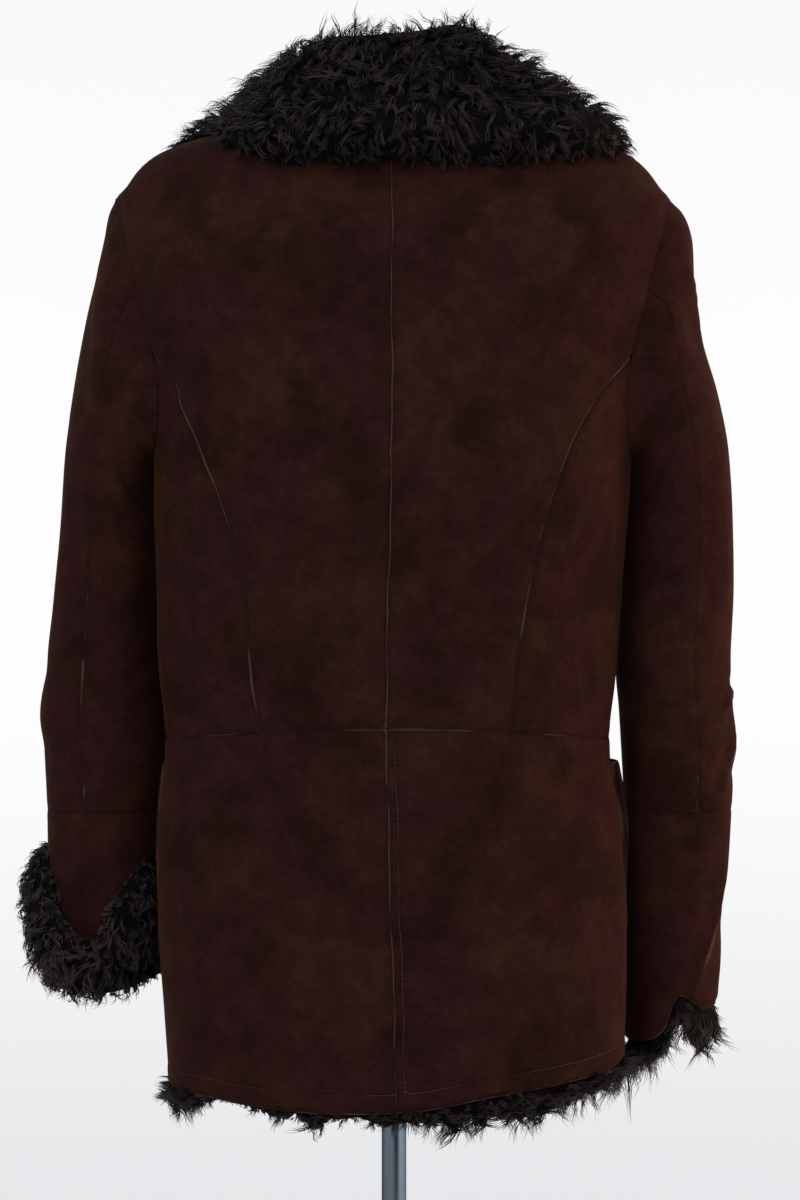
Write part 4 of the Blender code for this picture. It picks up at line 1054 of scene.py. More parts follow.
    def front_grid(self, heights: Array, edge: Array, side: Side, count: int) -> tuple[Array, Array]:
        """Angles of a front and its sink; the left front lies under the right one along the middle."""
        front = self.coat.front_edge.read("out", heights)
        ramp_in = np.maximum(self.underlap_in, front + self.past_front_in)
        ramp_out = np.maximum(self.underlap_out, front + self.past_front_out)
        angle = self.coat.front_angle
        knots = [edge, *(angle(out, heights) for out in (ramp_out, ramp_in, (ramp_in + front) / 2, front))]
        share = edge_shares(count)
        columns = np.array([np.interp(share, self.front_places, row) for row in np.stack(knots, axis=1)])
        half = self.coat.sections.read("half_width", heights)[:, None]
        out = half * spread(np.sin(columns), 2 / self.coat.squareness)
        above = self.underlap_top + self.underlap_fade - heights
        level = np.clip(above / self.underlap_fade, 0, 1)[:, None]
        past = np.clip((self.underlap_out - out) / (self.underlap_out - self.underlap_in), 0, 1)
        sink = (self.coat.wall + self.coat.seam_gap) * past * level * (columns > math.pi / 2)
        return columns, sink if side is Side.LEFT else np.zeros_like(sink)

    def front_upper(self, side: Side) -> Panel:
        """Front from the waist to the shoulder; the right one closes over the left one."""
        heights, turn, on_hole, _ = self.upper_rows()
        edge = self.side_line(heights, turn, on_hole, side, 1)
        columns, sink = self.front_grid(heights, edge, side, self.front_columns)
        seams = ((Border.FIRST_COLUMN, self.quiet_rub_and_painted_light), (Border.FIRST_ROW, self.waist_rubs_and_painted_light["front_upper"]))
        front = Border.LAST_COLUMN
        stitched = ((front, self.front_stitch),)
        name = f"front_upper_{side.word}"
        return self.panel(name, columns, heights, side, sink, seams=seams, edges=(front,), stitched=stitched)

    def front_lower(self, side: Side) -> Panel:
        """Front of the skirt."""
        heights = self.lower_rows()
        edge = self.side_seam(heights, side, 1)
        columns, sink = self.front_grid(heights, edge, side, self.front_skirt_columns)
        seams = ((Border.FIRST_COLUMN, self.quiet_rub_and_painted_light), (Border.LAST_ROW, self.waist_rubs_and_painted_light["front_lower"]))
        free = (Border.LAST_COLUMN, Border.FIRST_ROW)
        stitched = ((Border.LAST_COLUMN, self.front_stitch), (Border.FIRST_ROW, self.hem_stitch))
        name = f"front_lower_{side.word}"
        return self.panel(name, columns, heights, side, sink, seams=seams, edges=free, stitched=stitched)

    def pocket(self, side: Side) -> Panel:
        """Patch pocket whose top edge stands open."""
        heights = self.pocket_bottom + (self.pocket_top - self.pocket_bottom) * edge_shares(self.pocket_rows)
        first, last = math.radians(self.pocket_first), math.radians(self.pocket_last)
        angles = first + (last - first) * edge_shares(self.pocket_columns) * np.ones((len(heights), 1))
        tall = heights[:, None] * np.ones_like(angles)
        up = (tall - self.pocket_bottom) / (self.pocket_top - self.pocket_bottom)
        across = (angles - first) / (last - first)
        opened = ramp((up - self.gape_from) / self.gape_over)
        gape = self.pocket_gape[side] * opened * np.sin(math.pi * across**self.gape_lean)
        normal = self.coat.normal(angles, tall, side)
        out = self.pocket_gap + gape + self.pocket_wall
        return Panel(
            f"pocket_{side.word}",
            self.coat.point(angles, tall, side) + normal * out[..., None],
            normal,
            np.zeros_like(up),
            seams=(),
            edges=tuple(Border),
            stitched=tuple((border, self.pocket_stitch) for border in Border),
            wall=self.pocket_wall,
            rests_on=f"suede_front_lower_{side.word}",
        )

    def build(self) -> None:
        """Make every panel on both sides."""
        for side in Side:
            for panel in (self.back_center, self.back_side, self.back_lower):
                panel(side).build(self.suede, self.wool)
            for panel in (self.front_upper, self.front_lower):
                panel(side).build(self.suede, self.wool)
            self.pocket(side).build(self.suede, self.suede)


@dataclass
class Sleeve:
    """Top and under panels of a sleeve, and its cuff panel below the horizontal seam.

    The back seam is lighter in a few stretches, partly rubbed wear and partly painted highlight, given by
    lowest and highest height and how much.
    """

    form: SleeveForm
    creases: tuple[Crease, ...]
    dashes: tuple[Triple, ...]
    suede: bpy.types.Material
    wool: bpy.types.Material
    rows: int = 96
    cuff_rows: int = 30
    around: int = 84
    sharp_fold: float = 0.0045
    quiet_rub_and_painted_light: float = 0.06
    top_columns: int = 34
    under_columns: int = 24
    first_rings: tuple[float, ...] = (0.0, 0.02, 0.06)
    even_from: float = 0.12
    cuff_seam: float = 0.004
    cuff_close: Triple = (0.008, 0.02, 0.04)
    crease_over: float = 0.8
    tube_start: float = -120.0

    def panel(self, part: str, turn: Array, ring: Array, **more: object) -> Panel:
        """Panel over a grid of turns and rings."""
        degrees = np.degrees(turn)
        wrapped = (degrees - self.tube_start) % 360 + self.tube_start if more.get("around") else degrees
        place = wrapped * DEGREE, self.form.height(ring)
        lift = relief(self.creases, *place) * ramp(ring / self.crease_over)
        sharp = (fold for fold in self.creases if fold.width <= self.sharp_fold)
        crest = sum(fold.relief(*place) / fold.depth for fold in sharp)
        base, normal = self.form.point(turn, ring), self.form.outward(turn, ring)
        return Panel(f"sleeve_{part}_{self.form.side.word}", base, normal, lift, crest=crest, **more)

    def upper(self, part: str, start: float, stop: float, count: int) -> Panel:
        """Panel between two lengthwise seams, from the armhole to the cuff seam."""
        gap = self.form.coat.seam_gap / 2 / self.form.coat.sleeve_radius
        first, last = math.radians(start) + gap, math.radians(stop) - gap
        even = np.linspace(self.even_from, self.form.cuff_ring - self.cuff_seam, self.rows)
        rings = np.concatenate([self.first_rings, even])
        turn, ring = np.meshgrid(first + (last - first) * edge_shares(count), rings)
        sides = (Border.FIRST_COLUMN, self.quiet_rub_and_painted_light), (Border.LAST_COLUMN, self.quiet_rub_and_painted_light)
        borders = (*sides, (Border.FIRST_ROW, 0.0), (Border.LAST_ROW, self.quiet_rub_and_painted_light))
        panel = self.panel(part, turn, ring, seams=borders)
        panel.inner_seams = self.rubbed_and_highlit(panel.base[:, 0 if part == "under" else -1])
        return panel

    def rubbed_and_highlit(self, line: Array) -> tuple[tuple[Array, float], ...]:
        """The stretches of a line along the back seam that are rubbed and painted lighter."""
        found = ((line[(line[:, 2] > low) & (line[:, 2] < high)], rub_and_painted_light) for low, high, rub_and_painted_light in self.dashes)
        return tuple((part, rub_and_painted_light) for part, rub_and_painted_light in found if len(part) > 1)

    def lower(self) -> Panel:
        """Tube from the cuff seam to the sleeve's edge."""
        turns = full_turn(self.around)
        edge = self.form.edge.read("height", np.degrees(turns))
        top = self.form.height(self.form.cuff_ring) - self.form.coat.seam_gap
        share = edge_shares(self.cuff_rows, self.cuff_close)[:, None]
        ring = self.form.ring_at(top * (1 - share) + edge * share)
        back, front = (
            self.form.point(np.full_like(ring[:, 0], math.radians(at)), ring[:, int(at / 360 * self.around)])
            for at in (self.form.back_seam, self.form.front_seam)
        )
        lengthwise = (*self.rubbed_and_highlit(back), (back, self.quiet_rub_and_painted_light), (front, self.quiet_rub_and_painted_light))
        top_seam = ((Border.FIRST_ROW, self.quiet_rub_and_painted_light),)
        borders = {"seams": top_seam, "edges": (Border.LAST_ROW,), "inner_seams": lengthwise}
        return self.panel("lower", turns * np.ones_like(ring), ring, around=True, **borders)

    def build(self) -> None:
        """Make the three panels."""
        seams = self.form.front_seam - 360, self.form.back_seam, self.form.front_seam
        self.upper("top", seams[0], seams[1], self.top_columns).build(self.suede, self.wool)
        self.upper("under", seams[1], seams[2], self.under_columns).build(self.suede, self.wool)
        self.lower().build(self.suede, self.wool)


# ---------------------------------------------------------------- fur


@dataclass(frozen=True)
class LockStyle:
    """How the curly locks of a piece of fur grow. Lengths in metres."""

    length: float
    length_spread: float
    curl: float
    turns: float
    rise: float
    droop: float
    strands: int
    strand_width: float
    bundle: float
    spacing: float
    wander: float
    swirl: float = 0.021
    knots: int = 5
    wander_waves: float = 0.8
    wander_spread: float = 0.6
    rise_waves: float = 0.28
    rise_spread: float = 0.18
    coil_spread: float = 0.25
    coil_most: float = 1.2
    coil_root: float = 0.25
    phase_spread: float = 0.42
    tip_closing: float = 0.45
    stretch_spread: float = 0.17
    frizz: float = 0.0013
    tone_waves: float = 0.20
    tone_spread: float = 0.2
    width_spread: float = 0.2


@dataclass
class FurGround:
    """Grid of points that locks grow from, with the way out and the way they are combed."""

    points: Array
    outward: Array
    comb: Array
    scale: Array
    weight: Array

    @classmethod
    def over(cls, points: Array, comb: Array, scale: Array, weight: Array | float, sign: float) -> FurGround:
        """Ground over a grid; the way out is the grid's own normal.

        Args:
            points: Grid, rows by columns by 3.
            comb: Way the locks lie, same shape or one vector.
            scale: Length of the locks, as a share of the style's.
            weight: Density, as a share of the style's.
            sign: 1 or -1, which side of the grid is out.
        """
        along = np.gradient(points, axis=1)
        up = np.gradient(points, axis=0)
        outward = unit(np.cross(along, up)) * sign
        shape = points.shape[:2]
        comb = np.broadcast_to(comb, points.shape)
        return cls(points, outward, comb, np.broadcast_to(scale, shape), np.broadcast_to(weight, shape))

    def scatter(self, spacing: float, rng: np.random.Generator) -> tuple[Array, Array, Array, Array]:
        """Roots spread over the ground, about one in each square of the spacing.

        Returns:
            Root points, ways out, combed ways and length scales.
        """
        corner = self.points
        share = cell_areas(corner) * (self.weight[1:, 1:] + self.weight[:-1, :-1]) / 2 / spacing**2
        total = np.cumsum(share.ravel())
        picks = np.arange(int(total[-1])) + rng.random(int(total[-1]))
        cell = np.clip(np.searchsorted(total, picks), 0, share.size - 1)
        row, column = np.unravel_index(cell, share.shape)
        u, v = rng.random((2, len(cell), 1))

        def mixed(grid: Array) -> Array:
            """Bilinear mix of a cell's four corners."""
            low = grid[row, column] * (1 - u) + grid[row, column + 1] * u
            high = grid[row + 1, column] * (1 - u) + grid[row + 1, column + 1] * u
            return low * (1 - v) + high * v

        return mixed(corner), unit(mixed(self.outward)), mixed(self.comb), mixed(self.scale[..., None])[:, 0]


@dataclass
class CurlyFur:
    """Locks of curly wool: each is a bundle of tapered strands that coil round one bent path."""

    style: LockStyle
    finish: bpy.types.Material
    seed: int
    # Lifts every strand's tone; on the cuffs it paints the backlight that glows through their thin fur.
    painted_backlight: float = 0.0

    def clumps(self, root: Array, rng: np.random.Generator) -> Array:
        """Three smooth uneven values over the roots, each the sum of six waves that run in all directions."""
        ways = unit(rng.normal(size=(3, 6, 3)))
        ways = ways * rng.uniform(0.7, 1.5, (3, 6, 1)) * 2 * math.pi / self.style.swirl
        waves = np.sin(np.einsum("nk,swk->snw", root, ways) + rng.uniform(0, 2 * math.pi, (3, 1, 6)))
        return waves.sum(axis=-1)[..., None] / math.sqrt(3)

    def paths(self, grounds: list[FurGround]) -> tuple[Array, Array, Array, Array]:
        """Centre lines of all strands.

        A lock's path is the running sum of L (cos q comb + sin q out) with q falling from rise to droop, plus
        a coil of the curl's radius. A strand keeps to its own side of the path and nears it at the tip.

        Returns:
            Points (strands by knots by 3), a side way for each strand, tone and width of each strand.
        """
        style = self.style
        rng = np.random.default_rng(self.seed)
        found = [ground.scatter(style.spacing, rng) for ground in grounds]
        root, out, comb, scale = (np.concatenate(parts) for parts in zip(*found))
        count = len(root)
        comb = comb - out * np.sum(comb * out, axis=1, keepdims=True)
        comb = unit(comb + 1e-6)
        side = np.cross(out, comb)
        turned, raised, lit = self.clumps(root, rng)
        wander = style.wander * (style.wander_waves * turned + rng.normal(0, style.wander_spread, (count, 1)))
        cosine, sine = np.cos(wander), np.sin(wander)
        comb, side = comb * cosine + side * sine, side * cosine - comb * sine
        t = np.linspace(0, 1, style.knots)
        length = style.length * scale[:, None] * np.exp(rng.normal(0, style.length_spread, (count, 1)))
        rise = style.rise + style.rise_waves * raised + rng.normal(0, style.rise_spread, (count, 1))
        lean = rise * (1 - t) + style.droop * t
        step = length / (style.knots - 1)
        forward = np.cumsum(np.cos(lean) * step, axis=1) - np.cos(lean[:, :1]) * step
        upward = np.cumsum(np.sin(lean) * step, axis=1) - np.sin(lean[:, :1]) * step
        path = root[:, None] + forward[..., None] * comb[:, None] + upward[..., None] * out[:, None]
        across = -np.sin(lean)[..., None] * comb[:, None] + np.cos(lean)[..., None] * out[:, None]
        phase = rng.uniform(0, 2 * math.pi, (count, 1))
        hand = rng.choice((-1.0, 1.0), (count, 1))
        turns = style.turns * np.exp(rng.normal(0, style.coil_spread, (count, 1)))
        radius = style.curl * np.exp(rng.normal(0, style.coil_spread, (count, 1)))
        radius = radius * np.minimum(scale[:, None], style.coil_most)
        strands = style.strands
        own_phase = phase[:, None] + rng.normal(0, style.phase_spread, (count, strands, 1))
        swing = own_phase + hand[:, None] * 2 * math.pi * turns[:, None] * t
        grow = radius[:, None] * (style.coil_root + (1 - style.coil_root) * t)
        coil_side = grow * np.cos(swing) - style.coil_root * radius[:, None] * np.cos(own_phase)
        coil_out = grow * np.sin(swing) - style.coil_root * radius[:, None] * np.sin(own_phase)
        place = rng.uniform(0, 2 * math.pi, (count, strands, 1))
        off = style.bundle * np.sqrt(rng.random((count, strands, 1))) * (1 - style.tip_closing * t)
        stretch = 1 + rng.normal(0, style.stretch_spread, (count, strands, 1)) * t
        frizz = rng.normal(0, 1, (count, strands, 2, 1)) * style.frizz * t**2
        coil_side = coil_side + off * np.cos(place) + frizz[:, :, 0]
        coil_out = coil_out + off * np.sin(place) + frizz[:, :, 1]
        center = root[:, None, None] + (path - root[:, None])[:, None] * stretch[..., None]
        points = center + coil_side[..., None] * side[:, None, None] + coil_out[..., None] * across[:, None]
        sideways = np.broadcast_to(side[:, None], (count, strands, 3)).reshape(-1, 3)
        least, most = -style.tone_spread, style.tone_spread
        tone = 0.5 + self.painted_backlight + style.tone_waves * lit + rng.uniform(least, most, (count, 1))
        tone = tone + rng.uniform(least, most, (count, strands))
        width = style.strand_width * np.exp(rng.normal(0, style.width_spread, (count, strands)))
        return points.reshape(-1, style.knots, 3), sideways, np.clip(tone, 0, 1.2).ravel(), width.ravel()

    def build(self, name: str, grounds: list[FurGround]) -> bpy.types.Object:
        """Make the locks as one joined mesh of closed three-sided strands.

        Args:
            name: Name of the piece.
            grounds: What the locks grow from.

        Returns:
            The fur.
        """
        points, sideways, tone, width = self.paths(grounds)
        strands, knots = points.shape[:2]
        tangent = unit(np.gradient(points, axis=1))
        sideways = sideways[:, None]
        first = unit(sideways - tangent * np.sum(sideways * tangent, axis=-1, keepdims=True))
        second = np.cross(tangent, first)
        t = np.linspace(0, 1, knots)
        girth = (0.62 + 0.38 * np.sin(math.pi * t**0.8)) * (1 - t**3)
        radius = (width[:, None] / 2 * girth)[:, :-1, None, None]
        turn = np.arange(3) * 2 * math.pi / 3
        ring = first[:, :-1, None] * np.cos(turn)[:, None] + second[:, :-1, None] * np.sin(turn)[:, None]
        body = points[:, :-1, None] + ring * radius
        rings = knots - 1
        verts = np.concatenate([body.reshape(strands, -1, 3), points[:, -1:]], axis=1)
        one = grid_quads(rings, 3, True)
        end = 3 * rings
        tip = np.array([(end - 3, end - 2, end), (end - 2, end - 1, end), (end - 1, end - 3, end)])
        cap = np.array([(2, 1, 0)])
        start = (np.arange(strands) * (3 * rings + 1))[:, None, None]
        quads = (one[None] + start).reshape(-1, 4)
        triangles = (np.concatenate([tip, cap])[None] + start).reshape(-1, 3)
        part = Part(name, verts.reshape(-1, 3), quads, triangles, sharp=None)
        along = np.append(np.repeat(t[:-1], 3), 1.0)
        part.layers["tip"] = np.tile(along, strands)
        part.layers["tone"] = np.repeat(tone, 3 * rings + 1)
        item = part.build(self.finish)
        LOG.info("%s: %d strands, %d triangles", name, strands, 2 * len(quads) + len(triangles))
        return item


def undercoat(
    name: str, outer: Array, inner: Array, finish: bpy.types.Material, around: bool
) -> bpy.types.Object:
    """Dense short wool that the locks grow out of, as a closed wall."""
    item = wall_part(name, outer, inner, around).build(finish, finish)
    return item


COLLAR_COLUMNS = "station angle neck_height edge_angle edge_height rise edge_fur inset edge_locks"
COLLAR_TABLES = {
    Side.LEFT: Table(
        COLLAR_COLUMNS,
        (0, 0, 1.388, 0, 1.346, 0.073, 0.026, 0.0070, 0.60),
        (1, 30, 1.388, 28, 1.350, 0.067, 0.026, 0.0075, 0.60),
        (2, 50, 1.388, 45, 1.358, 0.056, 0.022, 0.0090, 0.50),
        (3, 65, 1.388, 60, 1.363, 0.049, 0.019, 0.0115, 0.36),
        (4, 78, 1.388, 75, 1.366, 0.044, 0.016, 0.0125, 0.26),
        (5, 90, 1.388, 90, 1.366, 0.039, 0.015, 0.0120, 0.24),
        (6, 110, 1.388, 112, 1.352, 0.038, 0.018, 0.0095, 0.42),
        (7, 127.5, 1.387, 126, 1.334, 0.038, 0.022, 0.0060, 0.70),
        (8, 153, 1.372, 136, 1.320, 0.034, 0.024, 0.0045, 0.75),
        (9, 163, 1.356, 141, 1.310, 0.028, 0.022, 0.0045, 0.75),
    ),
    Side.RIGHT: Table(
        COLLAR_COLUMNS,
        (0, 0, 1.388, 0, 1.346, 0.073, 0.026, 0.0070, 0.60),
        (1, 30, 1.388, 28, 1.346, 0.073, 0.026, 0.0050, 0.60),
        (2, 50, 1.388, 45, 1.346, 0.066, 0.026, 0.0050, 0.55),
        (3, 65, 1.388, 60, 1.347, 0.050, 0.025, 0.0080, 0.50),
        (4, 78, 1.388, 75, 1.351, 0.040, 0.024, 0.0105, 0.42),
        (5, 90, 1.388, 90, 1.356, 0.036, 0.022, 0.0100, 0.42),
        (6, 110, 1.388, 110, 1.348, 0.036, 0.020, 0.0080, 0.55),
        (7, 127.5, 1.387, 126, 1.334, 0.038, 0.022, 0.0060, 0.70),
        (8, 153, 1.372, 136, 1.320, 0.034, 0.024, 0.0045, 0.75),
        (9, 163, 1.356, 141, 1.310, 0.028, 0.022, 0.0045, 0.75),
    ),
}


@dataclass
class Collar:
    """Fur collar round the neck: a skin on the shoulders, its undercoat and its locks."""

    coat: CoatForm
    suede: bpy.types.Material
    wool: bpy.types.Material
    locks: bpy.types.Material
    stations: int = 60
    across: int = 22
    skin: float = 0.0025
    gap: float = 0.0013
    style: LockStyle = LockStyle(
        length=0.019, length_spread=0.25, curl=0.0026, turns=0.95, rise=1.05, droop=0.0, strands=6,
        strand_width=0.00066, bundle=0.0023, spacing=0.0060, wander=0.8,
    )

    def half(self, side: Side) -> tuple[Array, Array, Array, Array]:
        """Under side, undercoat's top, outward lean and locks' scale of half a collar, from the back on."""
        rows = COLLAR_TABLES[side]
        place = np.linspace(0, 1, self.stations) ** 0.9 * rows.knots[-1]

        def at(column: str) -> Array:
            """A column of the table as a column of the grid."""
            return rows.read(column, place)[:, None]

        across = np.linspace(0, 1, self.across)[None, :]
        angle = np.radians(at("angle") * (1 - across) + at("edge_angle") * across)
        height = at("neck_height") * (1 - across) + at("edge_height") * across
        under = self.coat.at(angle, height, side, self.gap)
        lean = ramp(across / 0.9)[..., None]
        way = unit(UP * (1 - lean) + self.coat.normal(angle, height, side) * lean)
        thick = at("edge_fur") + (at("rise") - at("edge_fur")) * (1 - across) ** 0.9
        edge = np.maximum(across - 0.8, 0) / 0.2
        full = thick * np.sqrt(np.maximum(1 - edge**2, 0.12)) - at("inset")
        upper = under + way * np.maximum(full, self.skin + 0.003)[..., None]
        scale = 1 - (1 - at("edge_locks")) * ramp((across - 0.35) / 0.6)
        return under, upper, way, scale[..., None]

    def grid(self) -> tuple[Array, Array, Array, Array]:
        """The same four for the whole collar, from the right front end to the left one."""
        left, right = self.half(Side.LEFT), self.half(Side.RIGHT)
        return tuple(np.concatenate([b[:0:-1], (a[:1] + b[:1]) / 2, a[1:]]) for a, b in zip(left, right))

    def build(self) -> None:
        """Make the skin, the undercoat and the locks."""
        under, top, way, scale = self.grid()
        hidden = (under + way * self.skin)[:, :-1], under[:, :-1]
        skin = wall_part("collar_skin", *hidden).build(self.suede, self.suede)
        for layer_name in ("to_seam", "to_edge", "to_stitch"):
            layer = skin.data.attributes.new(layer_name, "FLOAT", "POINT")
            layer.data.foreach_set("value", np.full(len(skin.data.vertices), 0.5, dtype=np.float32))
        base = undercoat("collar_undercoat", top, under + way * (self.skin + 0.0003), self.wool, False)
        outer_side = np.concatenate([top, (under + way * (self.skin + 0.001))[:, -1:]], axis=1)
        inner_side = np.concatenate([(under + way * (self.skin + 0.001))[:, :1], top[:, :1]], axis=1)
        comb = unit(np.gradient(outer_side, axis=1)) + np.array((0, 0, -0.2))
        scale = np.concatenate([scale, scale[:, -1:]], axis=1)[..., 0]
        middle = len(outer_side) // 2
        pieces = [skin, base]
        halves = {"right": slice(0, middle + 1), "left": slice(middle, None)}
        for number, (name, rows) in enumerate(halves.items()):
            part = FurGround.over(outer_side[rows], comb[rows], scale[rows], 1.0, -1.0)
            neck = FurGround.over(inner_side[rows], UP, 0.7, 0.5, -1.0)
            crest = FurGround.over(outer_side[rows][:, :4], UP, 0.85, 1.1, -1.0)
            fur = CurlyFur(self.style, self.locks, COLLAR_SEED + number)
            pieces.append(fur.build(f"collar_fur_{name}", [part, neck, crest]))
        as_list(pieces[1:])
        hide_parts("collar")


@dataclass
class Lapel:
    """Fur lapel on one front: undercoat and locks."""

    coat: CoatForm
    side: Side
    wool: bpy.types.Material
    locks: bpy.types.Material
    fur: float = 0.024
    gap: float = 0.0013
    inset: float = 0.0045
    rows: int = 36
    columns: int = 20
    outline: Table = ring_table(
        "front_height outer_height outer_out",
        (1.084, 1.084, 0.006), (1.102, 1.100, 0.036), (1.130, 1.122, 0.062), (1.165, 1.150, 0.088),
        (1.200, 1.178, 0.110), (1.235, 1.208, 0.130), (1.268, 1.238, 0.146), (1.298, 1.264, 0.156),
        (1.324, 1.285, 0.158), (1.341, 1.298, 0.149), (1.349, 1.303, 0.140),
    )
    across: Table = Table(
        "share fullness", (0, 0.35), (0.12, 0.85), (0.35, 1), (0.6, 1), (0.82, 0.95), (0.95, 0.7), (1, 0.3)
    )
    ends: Table = Table("row fullness", (0, 0.3), (1, 0.6), (2, 1), (8, 1), (9, 0.8), (10, 0.4))
    style: LockStyle = LockStyle(
        length=0.016, length_spread=0.20, curl=0.0027, turns=0.95, rise=0.8, droop=0.0, strands=4,
        strand_width=0.00115, bundle=0.0024, spacing=0.0100, wander=0.8,
    )

    def build(self) -> None:
        """Make the undercoat and the locks."""
        number = np.linspace(0, self.outline.knots[-1], self.rows)
        share = np.linspace(0, 1, self.columns)[None, :]
        read = self.outline.read
        least = np.maximum(self.coat.front_edge.read("out", read("front_height", number)), 0.002)
        out = least[:, None] * (1 - share) + read("outer_out", number)[:, None] * share
        tall = read("front_height", number)[:, None] * (1 - share)
        tall = tall + read("outer_height", number)[:, None] * share
        angle = self.coat.front_angle(out, tall)
        thick = self.fur * self.across.read("fullness", share) * self.ends.read("fullness", number)[:, None]
        under = self.coat.at(angle, tall, self.side, self.gap)
        upper = self.coat.at(angle, tall, self.side, self.gap + np.maximum(thick - self.inset, 0.002))
        base = undercoat(f"lapel_undercoat_{self.side.word}", upper, under, self.wool, False)
        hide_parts(f"lapel_{self.side.word}")
        comb = unit(np.gradient(upper, axis=1)) + np.array((0, 0, -0.7))
        ground = FurGround.over(upper, comb, 1.0, 1.0, self.side.value)
        fur = CurlyFur(self.style, self.locks, LAPEL_SEED + self.side.value)
        fur.build(f"lapel_fur_{self.side.word}", [ground])


@dataclass
class LeftCuff:
    """Fur cuff turned back over the left sleeve's end, with a V open at the back."""

    form: SleeveForm
    wool: bpy.types.Material
    locks: bpy.types.Material
    around: int = 72
    rows: int = 20
    below: float = 0.0040
    rim: Table = Table(
        "turn height",
        (0, 0.815), (15, 0.812), (25, 0.800), (36, 0.784), (45, 0.771), (60, 0.757), (72, 0.748),
        (86, 0.746), (94, 0.757), (101, 0.769), (112, 0.783), (122, 0.794), (142, 0.807), (165, 0.815),
        (360, 0.815),
    )
    gap: float = 0.0006
    least: float = 0.0008
    inset: float = 0.0040
    tuft: float = 0.10
    top_from: float = 0.72
    top_reach: float = 0.28
    end_to: float = 0.3
    lower_comb: Triple = (0, 0.2, -1.0)
    full: float = 0.020
    thickness: Table = Table(
        "turn thickness",
        (0, 0.020), (90, 0.021), (135, 0.014), (160, 0.0040), (205, 0.0035), (240, 0.012), (280, 0.020),
        (360, 0.020),
    )
    fullness: Table = Table(
        "share fullness",
        (0, 0.40), (0.12, 0.54), (0.24, 0.72), (0.38, 0.92), (0.52, 1), (0.67, 0.97), (0.82, 0.86),
        (1, 0.45),
    )
    style: LockStyle = LockStyle(
        length=0.015, length_spread=0.24, curl=0.0026, turns=1.0, rise=0.80, droop=-0.10, strands=6,
        strand_width=0.00078, bundle=0.0021, spacing=0.0058, wander=0.7,
    )
    ringlets: LockStyle = LockStyle(
        length=0.0125, length_spread=0.25, curl=0.0030, turns=1.35, rise=0.50, droop=-0.10, strands=2,
        strand_width=0.00095, bundle=0.0006, spacing=0.0052, wander=0.9, knots=10,
    )

    def build(self) -> None:
        """Make the undercoat and the locks."""
        turns = full_turn(self.around)
        degrees = np.degrees(turns)
        top = self.rim.read("height", degrees)
        share = np.linspace(0, 1, self.rows)[:, None]
        edge = self.form.edge.read("height", degrees)
        height = (edge - self.below) * (1 - share) + top * share
        ring = self.form.ring_at(np.maximum(height, edge))
        around = turns * np.ones_like(ring)
        base = self.form.point(around, ring)
        base[..., 2] = height
        out = self.form.outward(around, ring)
        tuft = 1 + self.tuft * np.sin(5 * around + 9 * share) * np.sin(math.pi * share)
        thick = self.thickness.read("thickness", degrees) * self.fullness.read("fullness", share) * tuft
        outer = base + out * np.maximum(thick - self.inset, self.gap + self.least)[..., None]
        inner = base + out * self.gap
        under = undercoat("cuff_undercoat_left", outer, inner, self.wool, True)
        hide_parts("cuff_fur_left")
        closed = looped(outer)
        lower = looped(np.concatenate([inner[:1], outer[:1]]))
        thick = self.thickness.read("thickness", np.append(degrees, 360))
        thin = np.clip(thick / self.full, 0.30, 1) * np.ones_like(closed[..., 0])
        comb, down_and_back = DOWN * np.ones_like(closed), np.array(self.lower_comb)
        near_top = np.clip((share - self.top_from) / self.top_reach, 0, 1)
        near_end = np.clip(1 - share / self.end_to, 0, 1)
        scale = thin * (1 - 0.45 * near_top - 0.25 * near_end)
        at_front = np.clip(-1.5 * np.sin(np.append(turns, 0.0)), 0, 1)
        weight = (1.0 + near_top) * np.sqrt(thin) * (1 - 0.45 * at_front)
        grounds = [FurGround.over(closed, comb, scale, weight, 1.0)]
        grounds.append(FurGround.over(lower, down_and_back, thin[:2] * 0.6, 1.3, 1.0))
        upper = looped(np.concatenate([outer[-1:], inner[-1:]]))
        grounds.append(FurGround.over(upper, UP, thin[:2] * 0.42, 1.9, 1.0))
        # Paler fur on the left cuff: painted backlight.
        CurlyFur(self.style, self.locks, LEFT_CUFF_SEED, painted_backlight=0.42).build("cuff_fur_locks_left", grounds)
        rim = FurGround.over(closed[:4], comb[:4], thin[:4], 0.8, 1.0)
        below = FurGround.over(lower, down_and_back, thin[:2], 1.2, 1.0)
        CurlyFur(self.ringlets, self.locks, LEFT_CUFF_SEED + 1).build("cuff_fur_ringlets_left", [rim, below])


